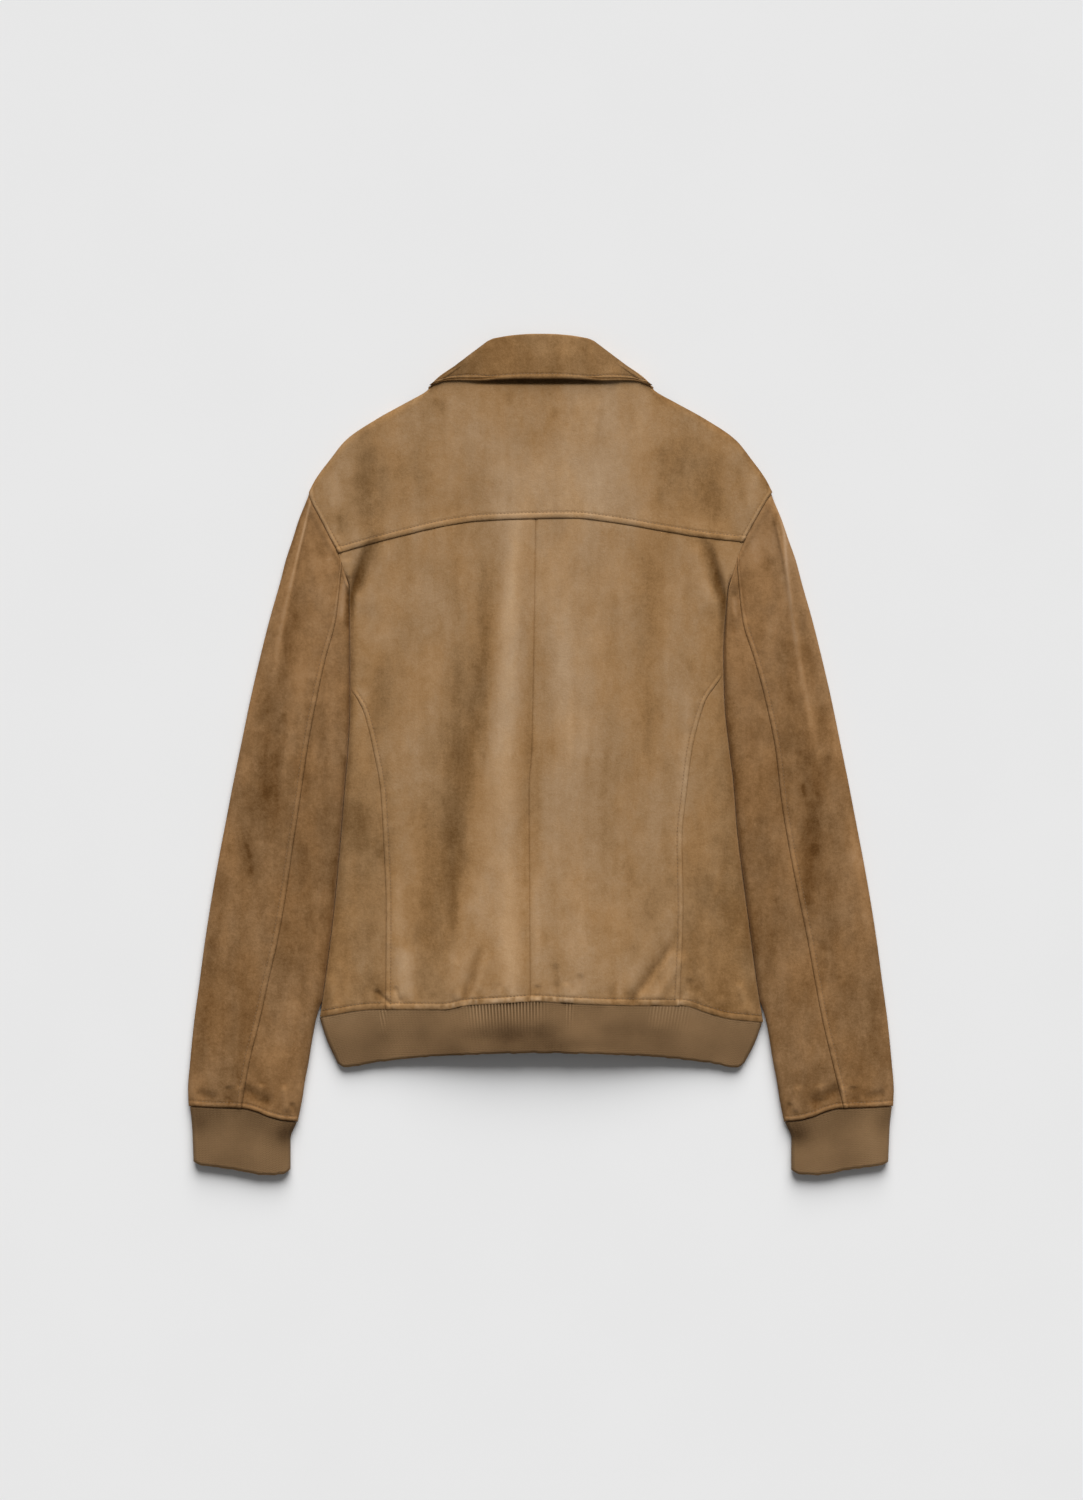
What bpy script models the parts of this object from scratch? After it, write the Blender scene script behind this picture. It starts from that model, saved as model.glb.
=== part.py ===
"""A suede blouson jacket with a shirt collar and knitted rib hem and cuffs.

It lies on its front, closed, with its back up: +Z is up, +Y runs from the hem to the
collar, and the wearer's left sleeve is at -X. Every piece is a wall of cloth with an
outer and an inner face. The tables are in millimetres, and the meshes are in metres.
"""

import math

import bmesh
import bpy
import numpy as np

MM = 0.001

# Cloth: thickness of each wall, and the air left between pieces (mm).
SUEDE_WALL = 3.0  # suede, its interlining and its lining, sewn as one
RIB_WALL = 2.6  # the knit is folded double
COLLAR_WALL = 1.4
TAPE_WALL = 0.8
SEAM_GAP = 0.3
YOKE_GAP = 0.5
SIDE_SEAM_GAP = 0.45
LAY_GAP = 3.6  # between the back and the fronts that it lies on
SLEEVE_CLEARANCE = 0.8  # between a sleeve's inner fold and the body's side fold

# Heights over the floor, and the folds at the sides (mm).
BODY_HEIGHT = 2 * SUEDE_WALL + LAY_GAP
FOLD_MID = BODY_HEIGHT / 2  # height of a fold's outermost line
SIDE_ROLL = 8.0  # how far in from the outline a fold is round on top
SLEEVE_ROLL = 10.0
SHOULDER_ROLL = 7.0
SLEEVE_CROWN = 1.6  # how much fuller a sleeve is along its middle
RIB_HEIGHT = 2 * RIB_WALL + 2.6
RIB_MID = RIB_HEIGHT / 2
SEAM_DIP = 0.5  # a seam lies this much lower than the cloth beside it
YOKE_LAP = 0.7  # the yoke's lower edge lies over the panels under it

# Cells of cloth across each piece.
BACK_FLAT = 8
BACK_ROUND = 3
SIDE_FLAT = 6
SIDE_ROUND = 3
SIDE_FLOOR = 4
YOKE_COLUMNS = 12
YOKE_FLAT = 6
YOKE_ROUND = 5

# Knitted ribs.
HEM_RIBS = 118
CUFF_RIBS = 28
RIB_RELIEF = 0.4

# The body's side line: the armhole seam above the underarm, the side fold below it.
# Distances from the centre line at height y.
SIDE_LINE = (
    # y, left, right
    (254, 224.8, 224.2),
    (250, 223.8, 221.3),
    (228, 212.5, 208.5),
    (208, 202.0, 197.5),
    (195, 195.0, 192.0),
    (174, 189.0, 185.5),
    (160, 185.5, 181.5),
    (147, 185.5, 180.0),
    (98, 185.0, 177.0),
    (51, 185.0, 178.0),
    (2, 187.0, 183.0),
    (-26, 189.5, 186.5),
    (-76, 193.5, 190.5),
    (-147, 200.0, 199.5),
    (-219, 209.0, 209.0),
    (-260, 215.0, 215.5),
)
UNDERARM_Y = 160.0
ARMHOLE_OPENS = 25.0  # the side fold opens out over this height above the underarm

# Side seams on the back: they leave the side fold and run in and down to the hem.
SIDE_SEAM = (
    # y, left, right
    (160, 185.5, 181.5),
    (79, 185.0, 176.5),
    (65, 184.6, 168.0),
    (54, 178.0, 160.5),
    (42, 172.0, 156.0),
    (25, 167.0, 151.0),
    (5, 162.5, 146.5),
    (-34, 155.5, 141.5),
    (-83, 152.5, 136.8),
    (-147, 150.0, 137.8),
    (-240, 150.5, 134.5),
)
SEAM_IN_FOLD = 0.35  # distance of a seam from the outline where the fold hides it

# Where the side panels meet the fronts underneath, in from the side fold.
FRONT_SEAM = (
    # y, inset
    (185, 0.3),
    (172, 3.5),
    (160, 7.5),
    (130, 22.0),
    (80, 42.0),
    (0, 54.0),
    (-260, 60.0),
)

# Centre back seam, yoke seam, and the seam where the rib hem is sewn on.
CENTRE_BACK = (
    # y, x
    (230, -5.0),
    (2, -9.0),
    (-34, -11.5),
    (-141, -11.0),
    (-260, -10.0),
)
YOKE_SEAM = (
    # x, y
    (-200, 193.5),
    (-159, 205.0),
    (-136, 211.0),
    (-90, 221.5),
    (-62, 225.5),
    (-24, 227.5),
    (31, 228.5),
    (68, 224.5),
    (124, 215.0),
    (155, 210.0),
    (200, 205.0),
)
HEM_SEAM = (
    # x, y
    (-216, -255.0),
    (-159, -247.0),
    (-93, -247.0),
    (-73, -243.0),
    (-39, -241.0),
    (-4, -239.0),
    (29, -241.0),
    (88, -243.0),
    (138, -243.5),
    (160, -250.0),
    (182, -256.0),
    (216, -259.5),
)
HEM_END = (
    # x, y of the rib band's lower edge
    (-197, -299.0),
    (-190, -303.0),
    (-160, -298.0),
    (-97, -291.5),
    (0, -288.5),
    (97, -291.5),
    (160, -298.0),
    (190, -303.0),
    (197, -299.0),
)
HEM_SIDES = (
    # share of the way down, distance of the band's side folds from the centre
    (0.0, 214.5),
    (0.5, 207.5),
    (1.0, 197.0),
)

# Rows of cloth up the body, as heights at the centre back, and their relief.
YOKE_Y = 227.0
HEM_Y = -240.0
HEM_FADE = 90.0
YOKE_FADE = 90.0
HEM_EASE = 0.35  # the body's last row stops this much above the hem seam's line
BODY_ROWS = (
    # y, relief
    (-240, -0.3),
    (-236.5, 0.6),
    (-232.5, -0.9),
    (-225, 0.4),
    (-205, 0.2),
    (-170, 0.0),
    (-130, 0.0),
    (-85, 0.0),
    (-40, 0.0),
    (5, 0.0),
    (40, 0.0),
    (70, 0.0),
    (110, 0.0),
    (168, 0.0),
    (188, 0.0),
    (207, 0.0),
    (227, -0.6),
)
ROWS_BELOW_UNDERARM = 14
FRONT_ROWS = (
    # body row that the front's side edge follows, y at the centre front
    (-240, -239.5),
    (-205, -205),
    (-170, -170),
    (-130, -130),
    (-85, -85),
    (-40, -40),
    (5, 10),
    (40, 55),
    (70, 95),
    (110, 132),
    (168, 165),
    (188, 186),
    (207, 202),
    (227, 217),
)
FRONT_TOP_ROWS = (
    # y at the armhole, y at the centre front
    (214, 231),
    (233, 249),
)

# Shoulder outline, from the armhole to the neck, and the neck edge of the yoke.
SHOULDER = (
    # x, y
    (224.2, 254.4),
    (218.0, 266.5),
    (204.0, 286.0),
    (188.5, 305.0),
    (160.0, 324.5),
    (127.0, 344.0),
    (113.0, 348.2),
    (104.0, 351.5),
    (97.0, 356.5),
    (86.0, 364.5),
    (77.0, 370.0),
    (40.0, 371.0),
    (0.0, 371.0),
)
SHOULDER_FRONT_INSET = 5.8
NECK_FRONT_INSET = 9.0
NECK_SIDE_X = 120.0

# Sleeves: the outer fold, the inner fold below the body, the back seam.
SLEEVE_OUTER = (
    # y, x
    (252.5, 225.6),
    (249, 226.8),
    (228, 235.0),
    (208, 241.0),
    (189, 247.0),
    (169, 252.0),
    (130, 263.0),
    (92, 272.5),
    (53, 281.5),
    (14, 289.5),
    (-25, 297.5),
    (-64, 305.0),
    (-102, 312.3),
    (-141, 319.2),
    (-180, 325.3),
    (-219, 330.5),
    (-258, 335.8),
    (-296, 339.6),
    (-325, 341.8),
    (-341, 341.2),
)
SLEEVE_INNER = (
    # y, x
    (-240, 212.8),
    (-258, 218.0),
    (-277, 221.6),
    (-296, 224.6),
    (-316, 228.4),
    (-335, 231.3),
    (-356, 235.5),
)
SLEEVE_SEAM = (
    # y, left, right
    (180, 193.0, 190.0),
    (130, 198.5, 195.0),
    (92, 208.5, 206.5),
    (53, 217.0, 217.0),
    (4, 226.0, 227.0),
    (-44, 233.0, 232.5),
    (-93, 240.5, 240.5),
    (-141, 247.5, 250.0),
    (-180, 254.5, 258.0),
    (-219, 263.5, 265.0),
    (-258, 272.0, 272.5),
    (-296, 281.5, 281.5),
    (-341, 289.5, 292.5),
)
SHOULDER_POINT_Y = 252.5
CUFF_OUTER_Y = -341.0
CUFF_INNER_Y = -356.0
CUFF_EASE = 0.5
SLEEVE_ROWS = 16
ARMHOLE_SHARE = 0.14  # share of the sleeve over which its rows leave the armhole's curve
UNDER_SEAM = 0.5  # the hidden sleeve seam, as a share of the width from the outer fold
CUFF_SEAM = (
    # share of the width from the outer fold, y
    (0.0, -341.0),
    (0.25, -342.5),
    (0.5, -343.5),
    (0.62, -346.5),
    (0.74, -351.5),
    (0.88, -355.0),
    (1.0, -356.0),
)
CUFF_END = (
    # share of the width from the outer fold, y
    (0.0, -394.0),
    (0.08, -397.5),
    (0.35, -401.0),
    (0.75, -407.0),
    (0.92, -406.5),
    (1.0, -402.0),
)
CUFF_SIDES = (
    # share of the way down, outer x, inner x
    (0.0, 340.0, 236.5),
    (0.35, 338.0, 242.5),
    (1.0, 336.5, 242.5),
)

# Folds that the cloth has taken. Each is a soft ridge (height > 0) or trough along a
# line, given by its ends on the plan.
BACK_FOLDS = (
    # x0, y0, x1, y1, half width, height
    (-166, 202, -184, 150, 9, -3.2),
    (-150, 204, -172, 140, 12, 1.8),
    (163, 202, 177, 148, 10, -3.2),
    (148, 204, 166, 140, 12, 1.6),
    (-50, 170, -78, -20, 17, -1.2),
    (-78, -20, -94, -190, 17, -1.4),
    (-26, 200, -32, -30, 13, 1.2),
    (104, 200, 100, -10, 16, -1.2),
    (24, 190, 30, -150, 14, 0.8),
    (-60, -178, -75, -240, 8, -2.2),
    (-48, -185, -60, -238, 9, 1.6),
    (129, -176, 92, -236, 8, -2.4),
    (142, -190, 108, -240, 8, 1.8),
    (-206, -215, -200, -246, 5, 1.4),
    (-160, -222, -150, -244, 5, -1.6),
    (-136, -222, -140, -240, 5, -1.2),
    (42, -215, 38, -236, 6, -1.2),
    (140, -218, 136, -238, 5, 1.3),
    (196, -222, 206, -250, 6, 1.6),
    (-178, 290, -165, 225, 18, -1.2),
    (168, 285, 160, 222, 20, -1.2),
)
SLEEVE_FOLDS = (
    # x0, y0, x1, y1, half width, height, for the left sleeve's side and mirrored
    (223, 243, 239, 180, 5, 1.4),
    (239, 180, 262, -10, 8, 1.6),
    (262, -10, 276, -150, 9, 1.2),
    (205, 120, 232, -60, 9, -0.8),
    (318, -318, 312, -340, 6, -1.4),
    (264, -322, 268, -350, 6, 1.4),
)
NECK_RISE = 3.2  # the yoke lies over the collar's layers near the neck
NECK_RISE_RADIUS = (118.0, 105.0)
NECK_RISE_CENTRE_Y = 335.0

# Collar: plan of the left half, from the front end round the side to the centre back.
COLLAR_FRONT = (
    # roll x, y, neck x, y, edge x, y
    (5.0, 298.0, 5.0, 270.0, 48.0, 239.0),
    (22.0, 303.0, 30.0, 274.0, 68.0, 262.0),
    (37.0, 320.0, 60.0, 292.0, 86.0, 292.0),
    (46.0, 345.0, 79.0, 328.0, 99.0, 325.0),
    (49.0, 372.0, 85.0, 354.0, 104.0, 339.0),
)
COLLAR_SIDE = (46.0, 400.5, 85.0, 371.0, 109.5, 353.0)
COLLAR_BACK = (
    (37.5, 402.2, 64.0, 371.5, 88.0, 363.0),
    (29.0, 405.0, 47.0, 371.5, 66.0, 365.3),
    (18.0, 407.0, 28.0, 371.5, 42.0, 364.4),
    (9.0, 407.8, 13.0, 371.5, 20.0, 363.3),
    (0.0, 408.0, 0.0, 371.5, 0.0, 362.8),
)
COLLAR_SIDE_TOP = 12.8  # height of the roll line at the sides
COLLAR_BACK_TOP = 10.5
LEAF_EDGE_SIDE = 17.6  # height of the leaf's edge over the yoke
LEAF_EDGE_BACK = 17.0
STAND_SEAM_FRONT = 4.4
STAND_SEAM_SIDE = 7.2
STAND_SEAM_BACK = 4.9
COLLAR_ROLL = 1.7  # radius of the roll line
STAND_GAP = 0.9
CORNER_EASE = 2.5  # the stand keeps this much further in where it nears the side fold
COLLAR_FOLD_ROLL = 5.0  # side folds: how far in they are round, at the roll line and the edge
COLLAR_FOLD_EDGE = 7.0
FRONT_LIFT = 1.9  # the fronts lie over the collar's points
LIFT_FADE = 32.0
LIFT_MARGIN = 20.0

# Front closure.
FRONT_EDGE_X = 4.5
ZIP_CLEAR_X = 16.0  # the fronts keep level from their edges to here, under the tape
FRONT_HEM_EASE = 0.7
HEM_UNDER_EASE = 0.7  # the band stands this much further off the body underneath
ZIP_CHAIN_WIDTH = 5.6
ZIP_CHAIN_WALL = 2.2
ZIP_TAPE_WIDTH = 30.0
ZIP_TOP_Y = 262.0
SLIDER_LENGTH = 11.0
SLIDER_WIDTH = 8.0
SLIDER_NECK = 5.0

SUEDE = (0.36, 0.235, 0.125, 1.0)
SUEDE_SLEEVE = (0.31, 0.195, 0.10, 1.0)
RIB_KNIT = (0.23, 0.145, 0.075, 1.0)
TAPE = (0.12, 0.075, 0.045, 1.0)
METAL = (0.42, 0.36, 0.26, 1.0)


# ---------------------------------------------------------------- curves and folds


def columns(table):
    return tuple(np.array(column, float) for column in zip(*table))


def curve(at, xs, ys):
    """A smooth curve through a table's points, which keeps level beyond its ends."""
    if xs[0] > xs[-1]:
        xs, ys = xs[::-1], ys[::-1]
    step = np.diff(xs)
    slope = np.diff(ys) / step
    product = slope[:-1] * slope[1:]
    total = slope[:-1] + slope[1:]
    safe = np.where(product > 0, total, 1.0)
    inner = np.where(product > 0, 2 * product / safe, 0.0)
    tangent = np.concatenate([slope[:1], inner, slope[-1:]])
    i = np.clip(np.searchsorted(xs, at) - 1, 0, len(step) - 1)
    t = np.clip((at - xs[i]) / step[i], 0.0, 1.0)
    start = ys[i] * (2 * t**3 - 3 * t**2 + 1) + tangent[i] * step[i] * (t**3 - 2 * t**2 + t)
    end = ys[i + 1] * (3 * t**2 - 2 * t**3) + tangent[i + 1] * step[i] * (t**3 - t**2)
    return start + end


def smooth(t):
    t = np.clip(t, 0.0, 1.0)
    return t * t * (3 - 2 * t)


def side_column(table, side, at):
    """Reads the left or right column of a table that is given over y."""
    y, left, right = columns(table)
    return curve(at, y, left if side < 0 else right)


def side_edge(side, y):
    return side_column(SIDE_LINE, side, y)


def fold_relief(table, x, y):
    """Height that the folds of a table add at a place on the plan."""
    total = 0.0
    for x0, y0, x1, y1, half_width, height in table:
        run = np.array([x1 - x0, y1 - y0], float)
        length = math.hypot(*run)
        along = ((x - x0) * run[0] + (y - y0) * run[1]) / length**2
        across = ((x - x0) * run[1] - (y - y0) * run[0]) / length
        ends = smooth((along + 0.15) / 0.3) * smooth((1.15 - along) / 0.3)
        total += height * ends * math.exp(-((across / half_width) ** 2))
    return total


def neck_rise(x, y):
    reach = math.hypot(x / NECK_RISE_RADIUS[0], (y - NECK_RISE_CENTRE_Y) / NECK_RISE_RADIUS[1])
    return NECK_RISE * smooth((1.25 - reach) / 0.6)


def back_top(x, y):
    """Height of the back's outer face over the floor."""
    return BODY_HEIGHT + fold_relief(BACK_FOLDS, x, y) + neck_rise(x, y)


def polygon_distance(x, y, corners):
    """Distance from a place on the plan to a convex polygon, 0 inside it."""
    nearest = math.inf
    inside = True
    for (x0, y0), (x1, y1) in zip(corners, corners[1:] + corners[:1]):
        run = math.hypot(x1 - x0, y1 - y0)
        side = ((x - x0) * (y1 - y0) - (y - y0) * (x1 - x0)) / run
        along = np.clip(((x - x0) * (x1 - x0) + (y - y0) * (y1 - y0)) / run**2, 0.0, 1.0)
        away = math.hypot(x - x0 - along * (x1 - x0), y - y0 - along * (y1 - y0))
        nearest = min(nearest, away)
        inside = inside and side <= 0
    return 0.0 if inside else nearest


def front_lift(x, y):
    """How far the collar's front leaf, which lies on the floor, lifts the fronts."""
    first, last = COLLAR_FRONT[0], COLLAR_SIDE
    corners = [(first[0], first[1]), (last[0], last[1]), (last[4], last[5]), (first[4], first[5])]
    away = polygon_distance(max(abs(x), ZIP_CLEAR_X), y, corners)
    return FRONT_LIFT * (1 - smooth((away - LIFT_MARGIN) / LIFT_FADE))


def fold_height(angle, top, mid):
    """Height on a fold's face: +90 degrees on top, 0 on the outline, -90 on the floor."""
    return mid + math.sin(angle) * (top - mid if angle > 0 else mid)


def fold_station(arc, roll, mid, share=1.0):
    """Inset from the outline and angle at an arc length from a fold's outermost line."""
    bend = roll if arc > 0 else mid
    quarter = bend * math.pi / 2
    turned = min(abs(arc) / quarter, 1.0) * math.pi / 2
    round_inset = bend * (1 - math.cos(turned)) + max(abs(arc) - quarter, 0.0)
    inset = share * round_inset + (1 - share) * abs(arc)
    angle = turned * share + (1 - share) * math.pi / 2
    return inset, math.copysign(angle, arc) if arc else angle * (1 - share)


def arc_of_inset(inset, roll, share=1.0):
    """Arc length at which a fold's upper face lies this far in from the outline."""
    quarter = roll * math.pi / 2
    if inset >= roll:
        return inset + share * (quarter - roll)
    return share * quarter * math.acos(1 - inset / roll) * 2 / math.pi + (1 - share) * inset


def spread(start, end, kink, flat, bent):
    """Stations from start to end, with `bent` of the cells beyond the kink if it lies between."""
    if min(start, end) < kink < max(start, end):
        first = np.linspace(start, kink, flat + 1)
        return np.concatenate([first, np.linspace(kink, end, bent + 1)[1:]])
    return np.linspace(start, end, flat + bent + 1)


# ---------------------------------------------------------------- meshes


def cloth_material(name, colour, roughness, metallic=0.0):
    material = bpy.data.materials.new(name)
    material.use_nodes = True
    shader = material.node_tree.nodes["Principled BSDF"]
    shader.inputs["Base Color"].default_value = colour
    shader.inputs["Roughness"].default_value = roughness
    shader.inputs["Metallic"].default_value = metallic
    return material


def wall(name, outer, inner, material, ring=False, inner_step=1):
    """One closed wall between a grid of outer points and a grid of inner points (mm).

    A ring joins its last column to its first. With an inner step over 1, the inner face
    keeps only every such column, and stays plain under a ribbed outer face.
    """
    rows, cols = outer.shape[:2]
    bm = bmesh.new()
    out = [[bm.verts.new(p * MM) for p in row] for row in outer]
    kept = list(range(0, cols, inner_step))
    inside = [{c: bm.verts.new(row[c] * MM) for c in kept} for row in inner]
    next_col = {c: (c + 1) % cols if ring else c + 1 for c in range(cols)}
    for r in range(rows - 1):
        for c in range(cols if ring else cols - 1):
            d = next_col[c]
            bm.faces.new((out[r][c], out[r][d], out[r + 1][d], out[r + 1][c]))
    spans = list(zip(kept, kept[1:]))
    if ring:
        spans.append((kept[-1], cols))
    for c, d in spans:
        e = d % cols
        for r in range(rows - 1):
            bm.faces.new((inside[r][c], inside[r + 1][c], inside[r + 1][e], inside[r][e]))
        for r in (0, rows - 1):
            edge = [out[r][k % cols] for k in range(c, d + 1)]
            bm.faces.new(edge + [inside[r][e], inside[r][c]])
    if not ring:
        for c in (0, cols - 1):
            for r in range(rows - 1):
                bm.faces.new((out[r][c], out[r + 1][c], inside[r + 1][c], inside[r][c]))
    bmesh.ops.recalc_face_normals(bm, faces=bm.faces)
    mesh = bpy.data.meshes.new(name)
    bm.to_mesh(mesh)
    bm.free()
    mesh.shade_smooth()
    mesh.set_sharp_from_angle(angle=math.radians(40))
    mesh.materials.append(material)
    piece = bpy.data.objects.new(name, mesh)
    bpy.context.scene.collection.objects.link(piece)
    return piece


def grids(stations):
    """Outer and inner grids from rows of (outer point, inner point) pairs."""
    outer = np.array([[pair[0] for pair in row] for row in stations], float)
    inner = np.array([[pair[1] for pair in row] for row in stations], float)
    return outer, inner


def folded_point(plan, inward, angle, height, thickness):
    """A point on a wall's outer face, and the one on its inner face behind it."""
    outer = np.array([plan[0], plan[1], height])
    level = math.cos(angle) * thickness
    inner = outer + np.array([inward[0] * level, inward[1] * level, -math.sin(angle) * thickness])
    return outer, inner


# ---------------------------------------------------------------- body


def row_y(nominal, x):
    """Height of a body row at x: rows follow the hem's line below and the yoke's above."""
    hem = curve(x, *columns(HEM_SEAM)) - HEM_Y + HEM_EASE
    yoke = curve(x, *columns(YOKE_SEAM)) - YOKE_Y
    low = 1 - smooth((nominal - HEM_Y) / HEM_FADE)
    high = 1 - smooth((YOKE_Y - nominal) / YOKE_FADE)
    return nominal + hem * low + yoke * high


def side_row_y(side, nominal, inset=0.0):
    """Height of a body row where it reaches the side line, or a point inside it."""
    y = nominal
    for _ in range(4):
        y = row_y(nominal, side * (side_edge(side, y) - inset))
    return y


def line_x(side, nominal, table):
    """Signed x where a body row crosses a line that is given as x over y."""
    x = side * 100.0
    for _ in range(4):
        y = row_y(nominal, x)
        if table is CENTRE_BACK:
            x = curve(y, *columns(table))
        else:
            x = side * side_column(table, side, y)
    return x


def flat_point(nominal, relief, x, shift=0.0):
    """A point on the flat of the back, and the one straight under it."""
    place = x + shift
    y = row_y(nominal, place)
    return folded_point((place, y), (0.0, 0.0), math.pi / 2, back_top(place, y) + relief, SUEDE_WALL)


def round_point(side, nominal, relief, arc, shift=0.0):
    """A point at an arc length from the side fold, moved along the cloth by a shift."""
    y = side_row_y(side, nominal)
    share = fold_share(side, nominal)
    inset, angle = fold_station(arc, SIDE_ROLL, FOLD_MID, share)
    for _ in range(3):
        x = side * (side_edge(side, y) - inset)
        y = row_y(nominal, x)
    level = fold_height(angle, back_top(x, y) + relief, FOLD_MID)
    pair = folded_point((x, y), (-side, 0.0), angle, level, SUEDE_WALL)
    along = np.array([-side * math.sin(angle), 0.0, math.cos(angle)])
    return tuple(point + along * shift for point in pair)


def fold_share(side, nominal):
    """1 where the side is a round fold, fading to 0 up the armhole, where it is flat."""
    return 1 - smooth((side_row_y(side, nominal) - UNDERARM_Y) / ARMHOLE_OPENS)


def seam_place(side, nominal):
    """The side seam in a row: its x on the flat, or None and its arc where the fold hides it."""
    if side_row_y(side, nominal) >= UNDERARM_Y:
        return None, 0.0
    x = line_x(side, nominal, SIDE_SEAM)
    inset = side_edge(side, row_y(nominal, x)) - abs(x)
    if inset > SIDE_ROLL:
        return x, None
    return None, arc_of_inset(max(inset, SEAM_IN_FOLD), SIDE_ROLL)


def dipped(relief):
    return relief - SEAM_DIP


def back_panel(name, side, material):
    """Half of the back below the yoke, from the centre back seam to the side."""
    stations = []
    for nominal, relief in BODY_ROWS:
        centre = line_x(side, nominal, CENTRE_BACK)
        seam_x, seam_arc = seam_place(side, nominal)
        if seam_arc is None:
            places = np.linspace(centre, seam_x, BACK_FLAT + BACK_ROUND + 1)
            row = [flat_point(nominal, relief, x) for x in places[1:-1]]
            row.append(flat_point(nominal, dipped(relief), places[-1], -side * SIDE_SEAM_GAP / 2))
        else:
            share = fold_share(side, nominal)
            kink = side * (side_edge(side, side_row_y(side, nominal, SIDE_ROLL)) - SIDE_ROLL - 0.5)
            places = np.linspace(centre, kink, BACK_FLAT + 1)
            row = [flat_point(nominal, relief, x) for x in places[1:]]
            far = SIDE_ROLL * (math.pi / 2 * share + 1 - share)
            arcs = np.linspace(far, seam_arc, BACK_ROUND + 1)[1:]
            row += [round_point(side, nominal, relief, arc) for arc in arcs[:-1]]
            row.append(round_point(side, nominal, relief, arcs[-1], SIDE_SEAM_GAP / 2))
        first = flat_point(nominal, dipped(relief), centre, side * SEAM_GAP / 2)
        stations.append([first] + row)
    stations[-1] = [shift_pair(pair, -YOKE_GAP) for pair in stations[-1]]
    return wall(name, *grids(stations), material)


def shift_pair(pair, up):
    """Moves a point pair along the jacket, to leave the gap of a seam."""
    return tuple(point + np.array([0.0, up, 0.0]) for point in pair)


def front_seam_arc(side, nominal):
    """Arc length, under the fold, at which a side panel meets the front."""
    inset = curve(side_row_y(side, nominal), *columns(FRONT_SEAM))
    if inset < FOLD_MID:
        return -FOLD_MID * math.acos(1 - inset / FOLD_MID)
    return -(inset - FOLD_MID + FOLD_MID * math.pi / 2)


def side_panel(name, side, material):
    """From the side seam on the back, round the side fold, to the front's seam."""
    stations = []
    quarter = SIDE_ROLL * math.pi / 2
    for nominal, relief in BODY_ROWS[:ROWS_BELOW_UNDERARM]:
        seam_x, seam_arc = seam_place(side, nominal)
        if seam_arc is None:
            kink = side * (side_edge(side, side_row_y(side, nominal, SIDE_ROLL)) - SIDE_ROLL - 0.5)
            places = np.linspace(seam_x, kink, SIDE_FLAT + 1)
            row = [flat_point(nominal, dipped(relief), places[0], side * SIDE_SEAM_GAP / 2)]
            row += [flat_point(nominal, relief, x) for x in places[1:]]
            arcs = np.linspace(quarter, 0.0, SIDE_ROUND + 1)[1:]
        else:
            row = [round_point(side, nominal, relief, seam_arc, -SIDE_SEAM_GAP / 2)]
            arcs = np.linspace(seam_arc, 0.0, SIDE_FLAT + SIDE_ROUND + 1)[1:]
        end = front_seam_arc(side, nominal)
        under = np.linspace(0.0, max(end, -FOLD_MID * math.pi / 2), SIDE_ROUND + 1)[1:]
        floor = np.linspace(under[-1], end, SIDE_FLOOR + 1)[1:] if end < under[-1] else None
        if floor is None:
            under = np.linspace(0.0, end, SIDE_ROUND + SIDE_FLOOR + 1)[1:]
            floor = []
        arcs = np.concatenate([arcs, under, floor])
        row += [round_point(side, nominal, relief, arc) for arc in arcs[:-1]]
        row.append(round_point(side, nominal, relief, arcs[-1], SEAM_GAP / 2))
        stations.append(row)
    stations[-1] = [shift_pair(pair, -YOKE_GAP) for pair in stations[-1]]
    return wall(name, *grids(stations), material)


def shoulder_line(side, inset, neck_inset):
    """The shoulder and neck outline from armhole to centre, moved in by an inset."""
    x, y = columns(SHOULDER)
    run = np.gradient(np.stack([x, y], 1), axis=0)
    run /= np.linalg.norm(run, axis=1)[:, None]
    moved = np.where(x < NECK_SIDE_X, neck_inset, inset)
    return np.stack([side * (x - run[:, 1] * moved), y + run[:, 0] * moved], 1)


def resample(points, count):
    """Evenly spaced points along a polyline."""
    steps = np.linalg.norm(np.diff(points, axis=0), axis=1)
    along = np.concatenate([[0.0], np.cumsum(steps)]) / steps.sum()
    at = np.linspace(0, 1, count)
    return np.stack([np.interp(at, along, points[:, k]) for k in range(2)], 1)


def yoke(name, material):
    """One piece across both shoulders, which rolls over the shoulder lines to the fronts."""
    halves = []
    for side in (-1, 1):
        x, y = columns(SHOULDER)
        top = resample(np.stack([side * x, y], 1), YOKE_COLUMNS + 1)
        corner = side_row_y(side, YOKE_Y)
        low_x = np.linspace(side * (side_edge(side, corner) - SEAM_GAP), 0.0, YOKE_COLUMNS + 1)
        low = np.stack([low_x, curve(low_x, *columns(YOKE_SEAM))], 1)
        shares = np.linspace(0, 1, YOKE_COLUMNS + 1)
        halves.append([yoke_column(side, *ends) for ends in zip(top, low, shares)])
    stations = halves[0] + halves[1][-2::-1]
    return wall(name, *grids(stations), material)


def yoke_end_angle(x):
    """How far the yoke rolls over: to the floor at the shoulder, and tucked in at the neck."""
    neck = smooth((96 - x) / 12)
    tucked = smooth((142 - x) / 16)
    centre = smooth((84 - x) / 84)
    return math.radians(-90 * (1 - tucked) + 10 * (1 - neck) * tucked + neck * (44 - 22 * centre))


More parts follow.
